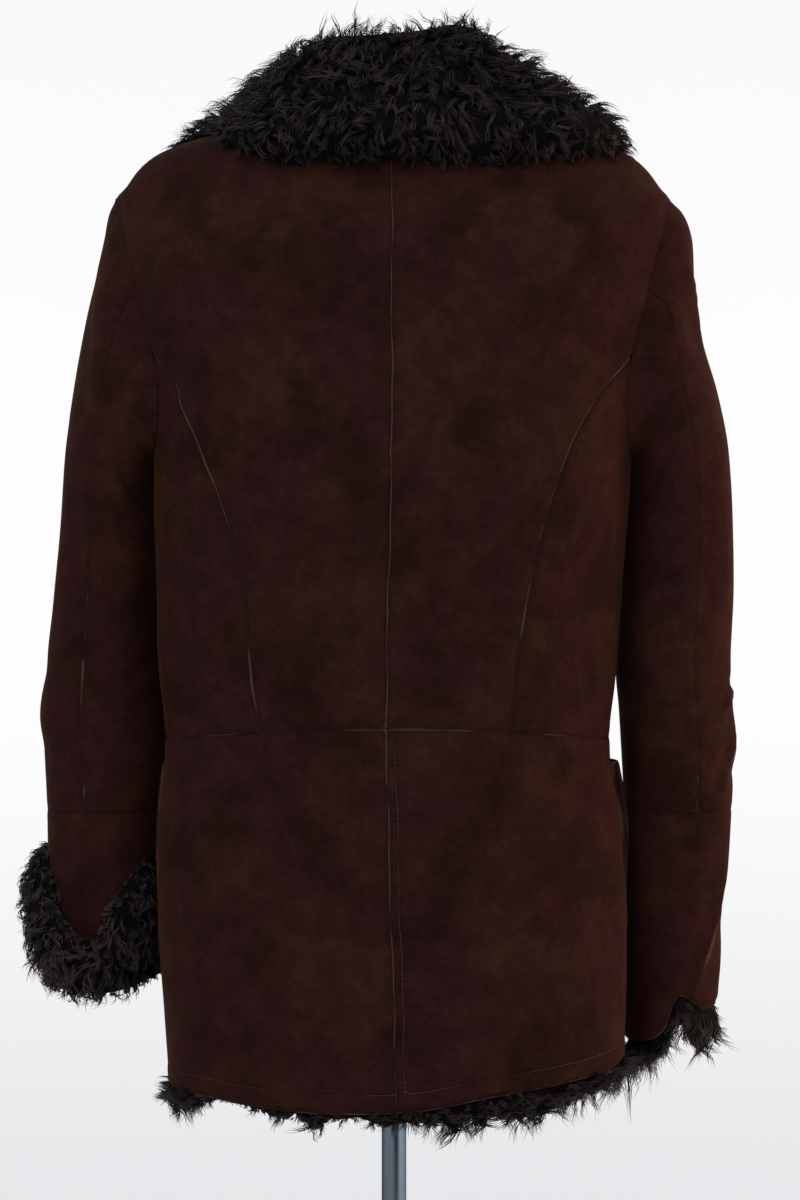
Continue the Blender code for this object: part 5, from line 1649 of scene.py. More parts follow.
@dataclass
class RightCuff:
    """Fur inside the right sleeve's end, which shows below its edge."""

    form: SleeveForm
    wool: bpy.types.Material
    locks: bpy.types.Material
    around: int = 72
    wall: float = 0.003
    gap: float = 0.0006
    fur: float = 0.011
    full: float = 0.8
    flare_reach: float = 0.016
    round_from: float = 0.8
    rounding: float = 0.75
    rows: int = 17
    above: float = 0.030
    hidden_rows: int = 10
    tuft: float = 0.002
    shape: Table = Table(
        "turn reach flare scale",
        (0, 0.013, 0.001, 0.50), (28, 0.018, 0.005, 0.70), (52, 0.024, 0.006, 0.90),
        (68, 0.028, 0.005, 0.85), (77, 0.026, 0.004, 0.80), (87, 0.017, 0.003, 0.55),
        (98, 0.012, 0.003, 0.50), (115, 0.013, 0.005, 0.75), (140, 0.015, 0.007, 1.15),
        (185, 0.016, 0.008, 1.55), (235, 0.014, 0.005, 1.3), (275, 0.014, 0.003, 1.1),
        (320, 0.014, 0.001, 0.9), (360, 0.013, 0.001, 0.50),
    )
    style: LockStyle = LockStyle(
        length=0.020, length_spread=0.22, curl=0.0026, turns=0.85, rise=0.35, droop=0.10, strands=7,
        strand_width=0.00064, bundle=0.0023, spacing=0.0047, wander=0.50,
    )

    def build(self) -> None:
        """Make the undercoat inside the sleeve and the locks at its mouth."""
        turns = full_turn(self.around)
        edge = self.form.edge.read("height", np.degrees(turns))
        read = self.shape.read
        reach = read("reach", np.degrees(turns)) + self.tuft * np.sin(7 * turns)
        share = np.linspace(0, 1, self.rows)[:, None]
        above = self.above * (1 - share) - reach * share
        below = ramp(-above / self.flare_reach)
        height = edge + above
        ring = self.form.ring_at(np.maximum(height, self.form.rings["outer_z"][-1]))
        around = turns * np.ones_like(ring)
        base = self.form.point(around, ring)
        base[..., 2] = height
        out = self.form.outward(around, ring)
        flare = read("flare", np.degrees(turns)) * below
        outer = base - out * (self.wall + self.gap - flare)[..., None]
        rounded = 1 - self.rounding * np.clip((share - self.round_from) / 0.2, 0, 1) ** 2
        inner = outer - out * (self.fur * self.full * rounded)[..., None]
        under = undercoat("cuff_undercoat_right", outer, inner, self.wool, True)
        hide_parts("cuff_fur_right")
        rows = slice(self.hidden_rows, None)
        scale = read("scale", np.degrees(np.append(turns, 2 * math.pi)))
        closed, inside = looped(outer)[rows], looped(inner)[rows]
        rim = np.stack([inside[-1], closed[-1]])
        grounds = [FurGround.over(closed, DOWN, scale, 1.0, -1.0)]
        grounds.append(FurGround.over(rim, DOWN, scale, 1.8, -1.0))
        grounds.append(FurGround.over(inside, DOWN, scale * 0.9, 0.6, 1.0))
        # Paler fur on the right cuff: painted backlight.
        CurlyFur(self.style, self.locks, RIGHT_CUFF_SEED, painted_backlight=0.60).build("cuff_fur_locks_right", grounds)


@dataclass
class HemFur:
    """Strip of fur inside the hem of one side, with tufts of uneven length below it."""

    coat: CoatForm
    side: Side
    wool: bpy.types.Material
    locks: bpy.types.Material
    inset: float = 0.0050
    fur: float = 0.010
    above: float = 0.018
    flare: float = 0.0030
    solid: float = 0.56
    own: float = 0.0050
    ragged: float = 0.22
    lengths: Table = Table(
        "x length",
        (-0.187, 0.030), (-0.175, 0.022), (-0.165, 0.019), (-0.154, 0.019), (-0.143, 0.021),
        (-0.132, 0.024), (-0.110, 0.030), (-0.099, 0.032), (-0.077, 0.0235), (-0.066, 0.027),
        (-0.055, 0.024), (-0.044, 0.031), (-0.033, 0.017), (-0.023, 0.018), (-0.012, 0.013), (0.002, 0.012),
        (0.008, 0.015), (0.0175, 0.008), (0.027, 0.004), (0.039, 0.006), (0.050, 0.009), (0.0575, 0.018),
        (0.0685, 0.008), (0.0735, 0.001), (0.0758, 0.009), (0.086, 0.009), (0.0962, 0.006), (0.1005, 0.001),
        (0.1034, 0.007), (0.107, 0.001), (0.132, 0.001), (0.138, 0.005), (0.145, 0.010), (0.155, 0.019),
        (0.170, 0.022),
    )
    front_end: float = 0.040
    columns: int = 90
    rows: int = 8
    front_length: float = 0.017
    front_sway: float = 0.005
    style: LockStyle = LockStyle(
        length=0.020, length_spread=0.25, curl=0.0026, turns=1.0, rise=0.50, droop=0.0, strands=7,
        strand_width=0.00058, bundle=0.0022, spacing=0.0044, wander=0.55,
    )

    def strip(self, first: float, last: float, name: str, seed: int, weight: float) -> None:
        """Undercoat and locks between two angles."""
        angles = np.linspace(first, last, self.columns)
        share = np.linspace(0, 1, self.rows)[:, None]
        at_hem = self.coat.point(angles, np.full(self.columns, self.coat.hem), self.side)
        along = at_hem[:, 0]
        reach = self.lengths.read("length", along)
        hidden = self.front_length + self.front_sway * np.sin(along * 90)
        reach = np.where(np.cos(angles) > 0, reach, hidden)
        tufts = 1 + self.ragged * np.sin(along * 520) * np.sin(along * 137 + 1)
        height = self.coat.hem + self.above * (1 - share) - self.solid * reach * tufts * share
        turn = angles * np.ones_like(height)
        on_skin = np.maximum(height, self.coat.hem)
        base = self.coat.point(turn, on_skin, self.side)
        base[..., 2] += height - on_skin
        normal = self.coat.normal(turn, on_skin, self.side)
        outer = base - normal * (self.inset - self.flare * ramp(share * 2 - 1))[..., None]
        inner = outer - normal * (self.fur * (1 - 0.7 * share**4))[..., None]
        under = undercoat(f"{name}_undercoat_{self.side.word}", outer, inner, self.wool, False)
        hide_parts(f"{name}_{self.side.word}")
        sign = -self.side.value
        own = self.own * np.clip(reach / 0.006, 0.3, 1)
        scale = (reach * (1 - self.solid) + own) / self.style.length * np.ones((3, 1))
        rim = np.stack([outer[-1], (outer[-1] + inner[-1]) / 2, inner[-1]])
        grounds = [FurGround.over(outer[-3:], DOWN, scale, 1.2 * weight, sign)]
        grounds.append(FurGround.over(rim, DOWN, scale, 2.2 * weight, sign))
        up = np.broadcast_to(-DOWN, (3, self.columns, 3))
        over = np.broadcast_to(1.5 * weight * np.clip(reach / 0.012, 0.1, 1), (3, self.columns))
        grounds.append(FurGround(outer[-3:], up, normal[-3:] + 0.3 * up, scale * 0.75, over))
        CurlyFur(self.style, self.locks, seed).build(f"{name}_locks_{self.side.word}", grounds)

    def build(self) -> None:
        """Make the strips of the back and the front."""
        hem = np.array([self.coat.hem])
        seam = np.array([math.pi / 2])
        start = self.coat.stepped(np.zeros(1), hem, self.side, 0.00005)[0]
        stop = self.coat.stepped(seam, hem, self.side, -0.0003)[0]
        again = self.coat.stepped(seam, hem, self.side, 0.0003)[0]
        front = float(self.coat.front_angle(self.front_end, hem)[0])
        self.strip(start, stop, "hem_fur_back", HEM_BACK_SEED + self.side.value, 1.0)
        self.strip(again, front, "hem_fur_front", HEM_FRONT_SEED + self.side.value, 0.45)


# ---------------------------------------------------------------- finishes

Socket = bpy.types.NodeSocket
Colour = tuple[float, float, float, float]
Inputs = dict[str | int, object]
Kinds = dict[str, str]
Given = bpy.types.NodeOutputs
NUMBER, VECTOR, COLOUR = "NodeSocketFloat", "NodeSocketVector", "NodeSocketColor"


@dataclass
class Nodes:
    """Short way to add, set and join the nodes of one tree."""

    tree: bpy.types.NodeTree

    def fill(self, node: bpy.types.Node, inputs: Inputs) -> None:
        """Give a node's named or numbered inputs their values or links."""
        for key, value in inputs.items():
            if isinstance(value, bpy.types.NodeSocket):
                self.tree.links.new(value, node.inputs[key])
            else:
                node.inputs[key].default_value = value

    def add(self, kind: str, inputs: Inputs | None = None, **settings: object) -> bpy.types.Node:
        """Add a node.

        Args:
            kind: Type of the node.
            inputs: Value or socket for each named or numbered input.
            settings: The node's own properties.

        Returns:
            The node.
        """
        node = self.tree.nodes.new(kind)
        for name, value in settings.items():
            setattr(node, name, value)
        self.fill(node, inputs or {})
        return node

    def group(self, tree: bpy.types.NodeTree, inputs: Inputs) -> Given:
        """Outputs of a group that is given its inputs."""
        return self.add("ShaderNodeGroup", inputs, node_tree=tree).outputs

    def math(self, operation: str, first: Socket, second: Socket | float = 0.0, third: float = 0.0) -> Socket:
        """Result of a sum, product or the like of two or three values."""
        return self.add("ShaderNodeMath", {0: first, 1: second, 2: third}, operation=operation).outputs[0]

    def noise(
        self,
        vector: Socket,
        scale: Socket | float,
        detail: float = 3.0,
        rough: float = 0.5,
        warp: float = 0.0,
    ) -> Socket:
        """Value of a noise, about 0.5 in the mean; scale is in waves a metre."""
        inputs = {"Vector": vector, "Scale": scale, "Detail": detail, "Roughness": rough, "Distortion": warp}
        return self.add("ShaderNodeTexNoise", inputs).outputs["Fac"]

    def span(self, value: Socket, low: float, high: float, first: float = 0.0, last: float = 1.0) -> Socket:
        """Smooth step of a value from one number at low to another at high."""
        inputs = {"Value": value, "From Min": low, "From Max": high, "To Min": first, "To Max": last}
        return self.add("ShaderNodeMapRange", inputs, interpolation_type="SMOOTHSTEP").outputs[0]

    def mix(self, factor: Socket | float, first: Socket | Colour, second: Socket | Colour) -> Socket:
        """Blend of two colours."""
        return self.add("ShaderNodeMix", {0: factor, 6: first, 7: second}, data_type="RGBA").outputs[2]

    def scaled(self, colour: Socket, factor: Socket) -> Socket:
        """A colour times a number."""
        return self.add("ShaderNodeVectorMath", {0: colour, "Scale": factor}, operation="SCALE").outputs[0]

    def stretched(self, vector: Socket, scale: Triple) -> Socket:
        """A place times a number along each axis."""
        return self.add("ShaderNodeMapping", {"Vector": vector, "Scale": scale}).outputs[0]

    def bump(self, height: Socket, strength: float = 1.0, distance: float = 1.0) -> Socket:
        """Normal of a surface of uneven height."""
        values = {"Height": height, "Strength": strength, "Distance": distance}
        return self.add("ShaderNodeBump", values).outputs["Normal"]

    def attribute(self, name: str) -> Socket:
        """Value that the points of a piece carry."""
        return self.add("ShaderNodeAttribute", attribute_name=name).outputs["Fac"]

    def place(self) -> Socket:
        """Object coordinates, which are metres in the coat's frame."""
        return self.add("ShaderNodeTexCoord").outputs["Object"]


def new_group(name: str, inputs: Kinds, outputs: Kinds) -> tuple[Nodes, Given, bpy.types.Node]:
    """Empty shader node group.

    Args:
        name: Name of the group.
        inputs: Type of each input socket by name.
        outputs: Type of each output socket by name.

    Returns:
        The group's nodes, what it is given and its output node.
    """
    tree = bpy.data.node_groups.new(name, "ShaderNodeTree")
    for way, sockets in (("INPUT", inputs), ("OUTPUT", outputs)):
        for label, kind in sockets.items():
            tree.interface.new_socket(label, in_out=way, socket_type=kind)
    nodes = Nodes(tree)
    return nodes, nodes.add("NodeGroupInput").outputs, nodes.add("NodeGroupOutput")


def mottle_group() -> bpy.types.NodeTree:
    """Patchy dye: two noises choose between a main, a second and a dark colour; two finer ones shade it."""
    inputs = {"Place": VECTOR, "Patches": NUMBER, "Main": COLOUR, "Second": COLOUR, "Dark": COLOUR}
    nodes, given, end = new_group("dye mottle", inputs, {"Colour": COLOUR})

    def cloud(times: float, detail: float, shift: float) -> Socket:
        """Noise at a number of times the patches' scale."""
        aside = {0: given["Place"], 1: (shift, shift * 2, -shift)}
        moved = nodes.add("ShaderNodeVectorMath", aside, operation="ADD").outputs[0]
        return nodes.noise(moved, nodes.math("MULTIPLY", given["Patches"], times), detail)

    second = nodes.span(cloud(1.0, 3.0, 3.1), 0.46, 0.62)
    dark = nodes.span(cloud(1.4, 3.5, 7.7), 0.48, 0.66, 0.0, 0.85)
    colour = nodes.mix(second, given["Main"], given["Second"])
    colour = nodes.mix(dark, colour, given["Dark"])
    shade = nodes.span(cloud(4.5, 4.0, 1.3), 0.30, 0.72, 0.84, 1.18)
    fine = nodes.span(cloud(16.0, 4.0, 5.9), 0.28, 0.74, 0.86, 1.15)
    nodes.fill(end, {"Colour": nodes.scaled(colour, nodes.math("MULTIPLY", shade, fine))})
    return nodes.tree


def nap_group() -> bpy.types.NodeTree:
    """Height of a napped skin: soft unevenness, brushed patches and a fine grain."""
    inputs, outputs = {"Place": VECTOR, "Grain": NUMBER}, {"Height": NUMBER, "Brushed": NUMBER}
    nodes, given, end = new_group("nap", inputs, outputs)
    soft = nodes.noise(given["Place"], 55.0, 2.0)
    brushed = nodes.noise(given["Place"], 240.0, 4.0, 0.6, 0.6)
    grain = nodes.noise(given["Place"], 1500.0, 2.0, 0.6)
    height = nodes.math("MULTIPLY", soft, 0.00045)
    height = nodes.math("ADD", height, nodes.math("MULTIPLY", brushed, 0.00022))
    height = nodes.math("ADD", height, nodes.math("MULTIPLY", grain, given["Grain"]))
    nodes.fill(end, {"Height": height, "Brushed": brushed})
    return nodes.tree


def worn_and_highlit_line_group() -> bpy.types.NodeTree:
    """Worn and highlit line: strong where the distance is under a width, broken up by a noise over the
    surface.
    """
    inputs = {"Distance": NUMBER, "Width": NUMBER, "Place": VECTOR, "Breaks": NUMBER, "Cover": NUMBER}
    nodes, given, end = new_group("worn and highlit line", inputs, {"Mask": NUMBER})
    near = nodes.span(nodes.math("DIVIDE", given["Distance"], given["Width"]), 0.35, 1.0, 1.0, 0.0)
    kept = nodes.math("ADD", nodes.noise(given["Place"], given["Breaks"]), given["Cover"])
    kept = nodes.span(kept, 0.45, 0.65, 0.10, 1.0)
    nodes.fill(end, {"Mask": nodes.math("MULTIPLY", near, kept)})
    return nodes.tree


def stitch_group() -> bpy.types.NodeTree:
    """Thread of a line of stitches: on for a share of each period, within a width of the line."""
    inputs = {"Distance": NUMBER, "Run": NUMBER, "Period": NUMBER, "Width": NUMBER}
    nodes, given, end = new_group("stitches", inputs, {"Mask": NUMBER, "Furrow": NUMBER})
    share = nodes.math("DIVIDE", nodes.math("ABSOLUTE", given["Distance"]), given["Width"])
    beat = nodes.math("FRACT", nodes.math("DIVIDE", given["Run"], given["Period"]))
    from_middle = nodes.math("ABSOLUTE", nodes.math("SUBTRACT", beat, 0.5))
    on = nodes.span(from_middle, 0.33, 0.42, 1.0, 0.0)
    thread = nodes.math("MULTIPLY", nodes.span(share, 0.6, 1.0, 1.0, 0.0), on)
    nodes.fill(end, {"Mask": thread, "Furrow": nodes.span(share, 0.5, 3.5, 1.0, 0.0)})
    return nodes.tree


@dataclass
class Effects:
    """The node groups that several finishes share, each built once."""

    mottle: bpy.types.NodeTree = field(default_factory=mottle_group)
    nap: bpy.types.NodeTree = field(default_factory=nap_group)
    worn: bpy.types.NodeTree = field(default_factory=worn_and_highlit_line_group)
    stitches: bpy.types.NodeTree = field(default_factory=stitch_group)


@dataclass(frozen=True)
class Dye:
    """Colours of a patchy dye, and the patches' waves a metre."""

    main: Colour
    second: Colour
    dark: Colour
    patches: float

    def colour(self, nodes: Nodes, effects: Effects) -> Socket:
        """The dye over the surface."""
        values = {"Main": self.main, "Second": self.second, "Dark": self.dark, "Patches": self.patches}
        return nodes.group(effects.mottle, {"Place": nodes.place(), **values})["Colour"]


def new_material(name: str) -> tuple[bpy.types.Material, Nodes, bpy.types.Node]:
    """Material with an empty Principled shader: itself, its nodes and the shader."""
    material = bpy.data.materials.new(name)
    material.use_nodes = True
    return material, Nodes(material.node_tree), material.node_tree.nodes["Principled BSDF"]


@dataclass(frozen=True)
class SuedeFinish:
    """Dark brown suede with patchy dye and a brushed nap. Seams, free edges and fold crests are lighter,
    partly rubbed wear and partly painted highlight; painted shadow lies beside the seams and in the stitch
    furrows.
    """

    effects: Effects
    dye: Dye
    # Colour of the lighter seams, free edges and fold crests: rubbed wear and painted highlight.
    rubbed_and_highlit: Colour = (0.110, 0.070, 0.056, 1)
    thread: Colour = (0.080, 0.045, 0.032, 1)
    seam_shadow: Colour = (0.009, 0.0045, 0.0038, 1)
    sheen: float = 0.055
    sheen_tint: Colour = (0.95, 0.38, 0.14, 1)
    grain: float = 0.00009
    seam_light_width: float = 0.0010
    edge_light_width: float = 0.0013
    thread_width: float = 0.00042
    thread_height: float = 0.0004
    furrow_depth: float = 0.0006
    stitch_period: float = 0.0034
    seam_breaks: float = 24.0
    edge_breaks: float = 45.0
    streak_scale: float = 120.0
    thread_patches: float = 9.0

    def worn(self, nodes: Nodes, rub_and_painted_light: Socket, to_seam: Socket) -> Socket:
        """How much is lighter, partly rubbed wear and partly painted highlight: seams by their own number,
        free edges and the crests of sharp folds.
        """
        place, mask = nodes.place(), self.effects.worn
        cover = nodes.math("MULTIPLY_ADD", rub_and_painted_light, 0.28, -0.19)
        seam = {"Distance": to_seam, "Width": self.seam_light_width, "Place": place, "Cover": cover}
        seam["Breaks"] = self.seam_breaks
        edge = {"Distance": nodes.attribute("to_edge"), "Width": self.edge_light_width, "Place": place}
        along = nodes.math("MULTIPLY_ADD", rub_and_painted_light, 0.55, 0.25)
        rubbed_and_highlit = nodes.math("MULTIPLY", nodes.group(mask, seam)["Mask"], along)
        rubbed_and_highlit = nodes.math("MULTIPLY", rubbed_and_highlit, nodes.span(rub_and_painted_light, 0.02, 0.15))
        at_edge = nodes.group(mask, {**edge, "Breaks": self.edge_breaks, "Cover": 0.05})["Mask"]
        at_edge = nodes.math("MULTIPLY", at_edge, 0.5)
        # Crests of sharp folds: painted highlight, broken into streaks.
        streaks = nodes.span(nodes.noise(place, self.streak_scale, 3.0, 0.6), 0.35, 0.6, 0.4, 1.0)
        crest = nodes.math("MULTIPLY", nodes.span(nodes.attribute("crest"), 0.72, 1.0, 0.0, 0.8), streaks)
        return nodes.math("MAXIMUM", nodes.math("MAXIMUM", rubbed_and_highlit, at_edge), crest)

    def material(self) -> bpy.types.Material:
        """Build the material."""
        material, nodes, shader = new_material("dark brown suede")
        place, to_seam, rub_and_painted_light = nodes.place(), nodes.attribute("to_seam"), nodes.attribute("rub_and_painted_light")
        nap = nodes.group(self.effects.nap, {"Place": place, "Grain": self.grain})
        runs = {"Distance": nodes.attribute("to_stitch"), "Run": nodes.attribute("stitch_run")}
        sizes = {"Period": self.stitch_period, "Width": self.thread_width}
        stitches = nodes.group(self.effects.stitches, {**runs, **sizes})
        # Painted shadow beside the seams, stronger where the seam's number is higher.
        beside = nodes.span(to_seam, 0.0006, 0.0034, 0.50, 0.0)
        shadow = nodes.math("MULTIPLY", beside, nodes.span(rub_and_painted_light, 0.0, 0.5, 0.2))
        colour = nodes.mix(shadow, self.dye.colour(nodes, self.effects), self.seam_shadow)
        # Painted shade in the stitch furrows.
        colour = nodes.mix(nodes.math("MULTIPLY", stitches["Furrow"], 0.45), colour, self.seam_shadow)
        # Lighter seams, free edges and fold crests: rubbed wear and painted highlight.
        colour = nodes.mix(self.worn(nodes, rub_and_painted_light, to_seam), colour, self.rubbed_and_highlit)
        shown = nodes.span(nodes.noise(place, self.thread_patches, 2.0), 0.40, 0.60, 0.25, 1.0)
        colour = nodes.mix(nodes.math("MULTIPLY", stitches["Mask"], shown), colour, self.thread)
        raised = nodes.math("MULTIPLY", stitches["Mask"], self.thread_height)
        sunk = nodes.math("MULTIPLY", stitches["Furrow"], self.furrow_depth)
        height = nodes.math("SUBTRACT", nodes.math("ADD", nap["Height"], raised), sunk)
        rough = nodes.span(nap["Brushed"], 0.3, 0.7, 0.86, 0.98)
        nodes.fill(shader, {"Base Color": colour, "Roughness": rough, "Normal": nodes.bump(height)})
        nodes.fill(shader, {"Specular IOR Level": 0.04, "Sheen Weight": self.sheen})
        nodes.fill(shader, {"Sheen Roughness": 0.35, "Sheen Tint": self.sheen_tint})
        return material


@dataclass(frozen=True)
class WoolFinish:
    """Short dense wool: the undercoat of the fur and the inner side of the skins."""

    effects: Effects
    name: str
    dye: Dye
    curl: float = 0.0016
    hair: float = 0.0003
    curl_scale: float = 320.0
    hair_scale: float = 1400.0

    def material(self) -> bpy.types.Material:
        """Build the material: a curly height from a warped noise, with fine hairs."""
        material, nodes, shader = new_material(self.name)
        curls = nodes.noise(nodes.place(), self.curl_scale, 3.0, 0.6, 2.5)
        hairs = nodes.noise(nodes.place(), self.hair_scale, 2.0, 0.7, 1.5)
        height = nodes.math("MULTIPLY", curls, self.curl)
        height = nodes.math("ADD", height, nodes.math("MULTIPLY", hairs, self.hair))
        nodes.fill(shader, {"Base Color": self.dye.colour(nodes, self.effects), "Normal": nodes.bump(height)})
        nodes.fill(shader, {"Roughness": nodes.span(curls, 0.3, 0.7, 0.92, 0.72), "Specular IOR Level": 0.08})
        return material


@dataclass(frozen=True)
class LockFinish:
    """Curly wool strands: dark at the root, greyer at the tip, with locks of a browner or cooler cast."""

    root: Colour = (0.0060, 0.0050, 0.0054, 1)
    tip: Colour = (0.0385, 0.0295, 0.0345, 1)
    cool: Colour = (0.0315, 0.0260, 0.0330, 1)
    brown: Colour = (0.0400, 0.0260, 0.0255, 1)
    cool_patches: float = 26.0
    brown_patches: float = 55.0

    def material(self) -> bpy.types.Material:
        """Build the material from the strands' own tip and tone values."""
        material, nodes, shader = new_material("curly dark fur")
        tip, tone = nodes.attribute("tip"), nodes.attribute("tone")
        cast = nodes.noise(nodes.place(), self.cool_patches, 2.0)
        end = nodes.mix(nodes.noise(nodes.place(), self.brown_patches, 2.0), self.brown, self.tip)
        end = nodes.mix(nodes.span(cast, 0.46, 0.62), end, self.cool)
        colour = nodes.mix(nodes.span(tip, 0.0, 0.85), self.root, end)
        shade = nodes.span(tone, 0.05, 0.95, 0.55, 1.55)
        rough = nodes.span(tip, 0.0, 1.0, 0.62, 0.50)
        nodes.fill(shader, {"Base Color": nodes.scaled(colour, shade), "Roughness": rough})
        nodes.fill(shader, {"Specular IOR Level": 0.20})
        return material


@dataclass(frozen=True)
class HornFinish:
    """Dark horn with faint streaks and a soft polish."""

    dark: Colour = (0.010, 0.006, 0.005, 1)
    light: Colour = (0.060, 0.034, 0.020, 1)
    streak_waves: Triple = (260.0, 90.0, 26.0)

    def material(self) -> bpy.types.Material:
        """Build the material: streaks from a noise that is stretched along Z."""
        material, nodes, shader = new_material("dark horn")
        streaks = nodes.noise(nodes.stretched(nodes.place(), self.streak_waves), 1.0, 4.0, 0.6, 1.2)
        colour = nodes.mix(nodes.span(streaks, 0.42, 0.72), self.dark, self.light)
        nodes.fill(shader, {"Base Color": colour, "Roughness": nodes.span(streaks, 0.3, 0.7, 0.24, 0.36)})
        nodes.fill(shader, {"Coat Weight": 0.3, "Coat Roughness": 0.2})
        return material


@dataclass(frozen=True)
class ThreadFinish:
    """Waxed dark brown thread."""

    colour: Colour = (0.030, 0.017, 0.012, 1)
    furrow: Colour = (0.016, 0.009, 0.007, 1)
    twist_scale: float = 900.0
    twist_depth: float = 0.0002

    def material(self) -> bpy.types.Material:
        """Build the material: a fine twist as bump."""
        material, nodes, shader = new_material("brown thread")
        waves = {"Vector": nodes.place(), "Scale": self.twist_scale, "Distortion": 1.0}
        twist = nodes.add("ShaderNodeTexWave", waves).outputs["Fac"]
        shade = nodes.mix(twist, self.colour, self.furrow)
        normal = nodes.bump(twist, 0.6, self.twist_depth)
        nodes.fill(shader, {"Base Color": shade, "Normal": normal, "Roughness": 0.62})
        return material


@dataclass(frozen=True)
class JerseyFinish:
    """Cream jersey stretched over the form, with a fine rib."""

    light: Colour = (0.60, 0.55, 0.47, 1)
    shade: Colour = (0.47, 0.42, 0.35, 1)
    rib: float = 0.0021
    rib_depth: float = 0.0004
    fuzz_scale: float = 1800.0
    blotches: float = 9.0

    def material(self) -> bpy.types.Material:
        """Build the material: ribs follow the height, blotches a noise."""
        material, nodes, shader = new_material("cream jersey")
        place = nodes.place()
        rows = {"Vector": place, "Scale": 0.314 / self.rib}
        ribs = nodes.add("ShaderNodeTexWave", rows, bands_direction="Z").outputs["Fac"]
        fuzz = nodes.noise(place, self.fuzz_scale, 2.0)
        blotch = nodes.span(nodes.noise(place, self.blotches, 4.0), 0.35, 0.7)
        colour = nodes.mix(blotch, self.light, self.shade)
        colour = nodes.mix(nodes.math("MULTIPLY", ribs, 0.25), colour, self.shade)
        height = nodes.math("ADD", ribs, nodes.math("MULTIPLY", fuzz, 0.8))
        nodes.fill(shader, {"Base Color": colour, "Normal": nodes.bump(height, 0.7, self.rib_depth)})
        nodes.fill(shader, {"Roughness": nodes.span(fuzz, 0.3, 0.7, 0.82, 0.95), "Sheen Weight": 0.15})
        return material


@dataclass(frozen=True)
class SteelFinish:
    """Brushed chromed steel with faint smudges."""

    name: str
    colour: Colour = (0.30, 0.35, 0.41, 1)
    worn: Colour = (0.25, 0.29, 0.33, 1)
    brush_waves: Triple = (40.0, 40.0, 900.0)
    brush_depth: float = 0.0002
    smudge_scale: float = 30.0

    def material(self) -> bpy.types.Material:
        """Build the material: fine rings of brushing and broad smudges."""
        material, nodes, shader = new_material(self.name)
        brushing = nodes.noise(nodes.stretched(nodes.place(), self.brush_waves), 1.0, 3.0, 0.6)
        smudges = nodes.noise(nodes.place(), self.smudge_scale, 4.0, 0.6)
        colour = nodes.mix(nodes.span(smudges, 0.4, 0.7), self.colour, self.worn)
        nodes.fill(shader, {"Base Color": colour, "Roughness": nodes.span(smudges, 0.3, 0.75, 0.10, 0.20)})
        nodes.fill(shader, {"Normal": nodes.bump(brushing, 0.06, self.brush_depth), "Metallic": 1.0})
        return material


# ---------------------------------------------------------------- buttons


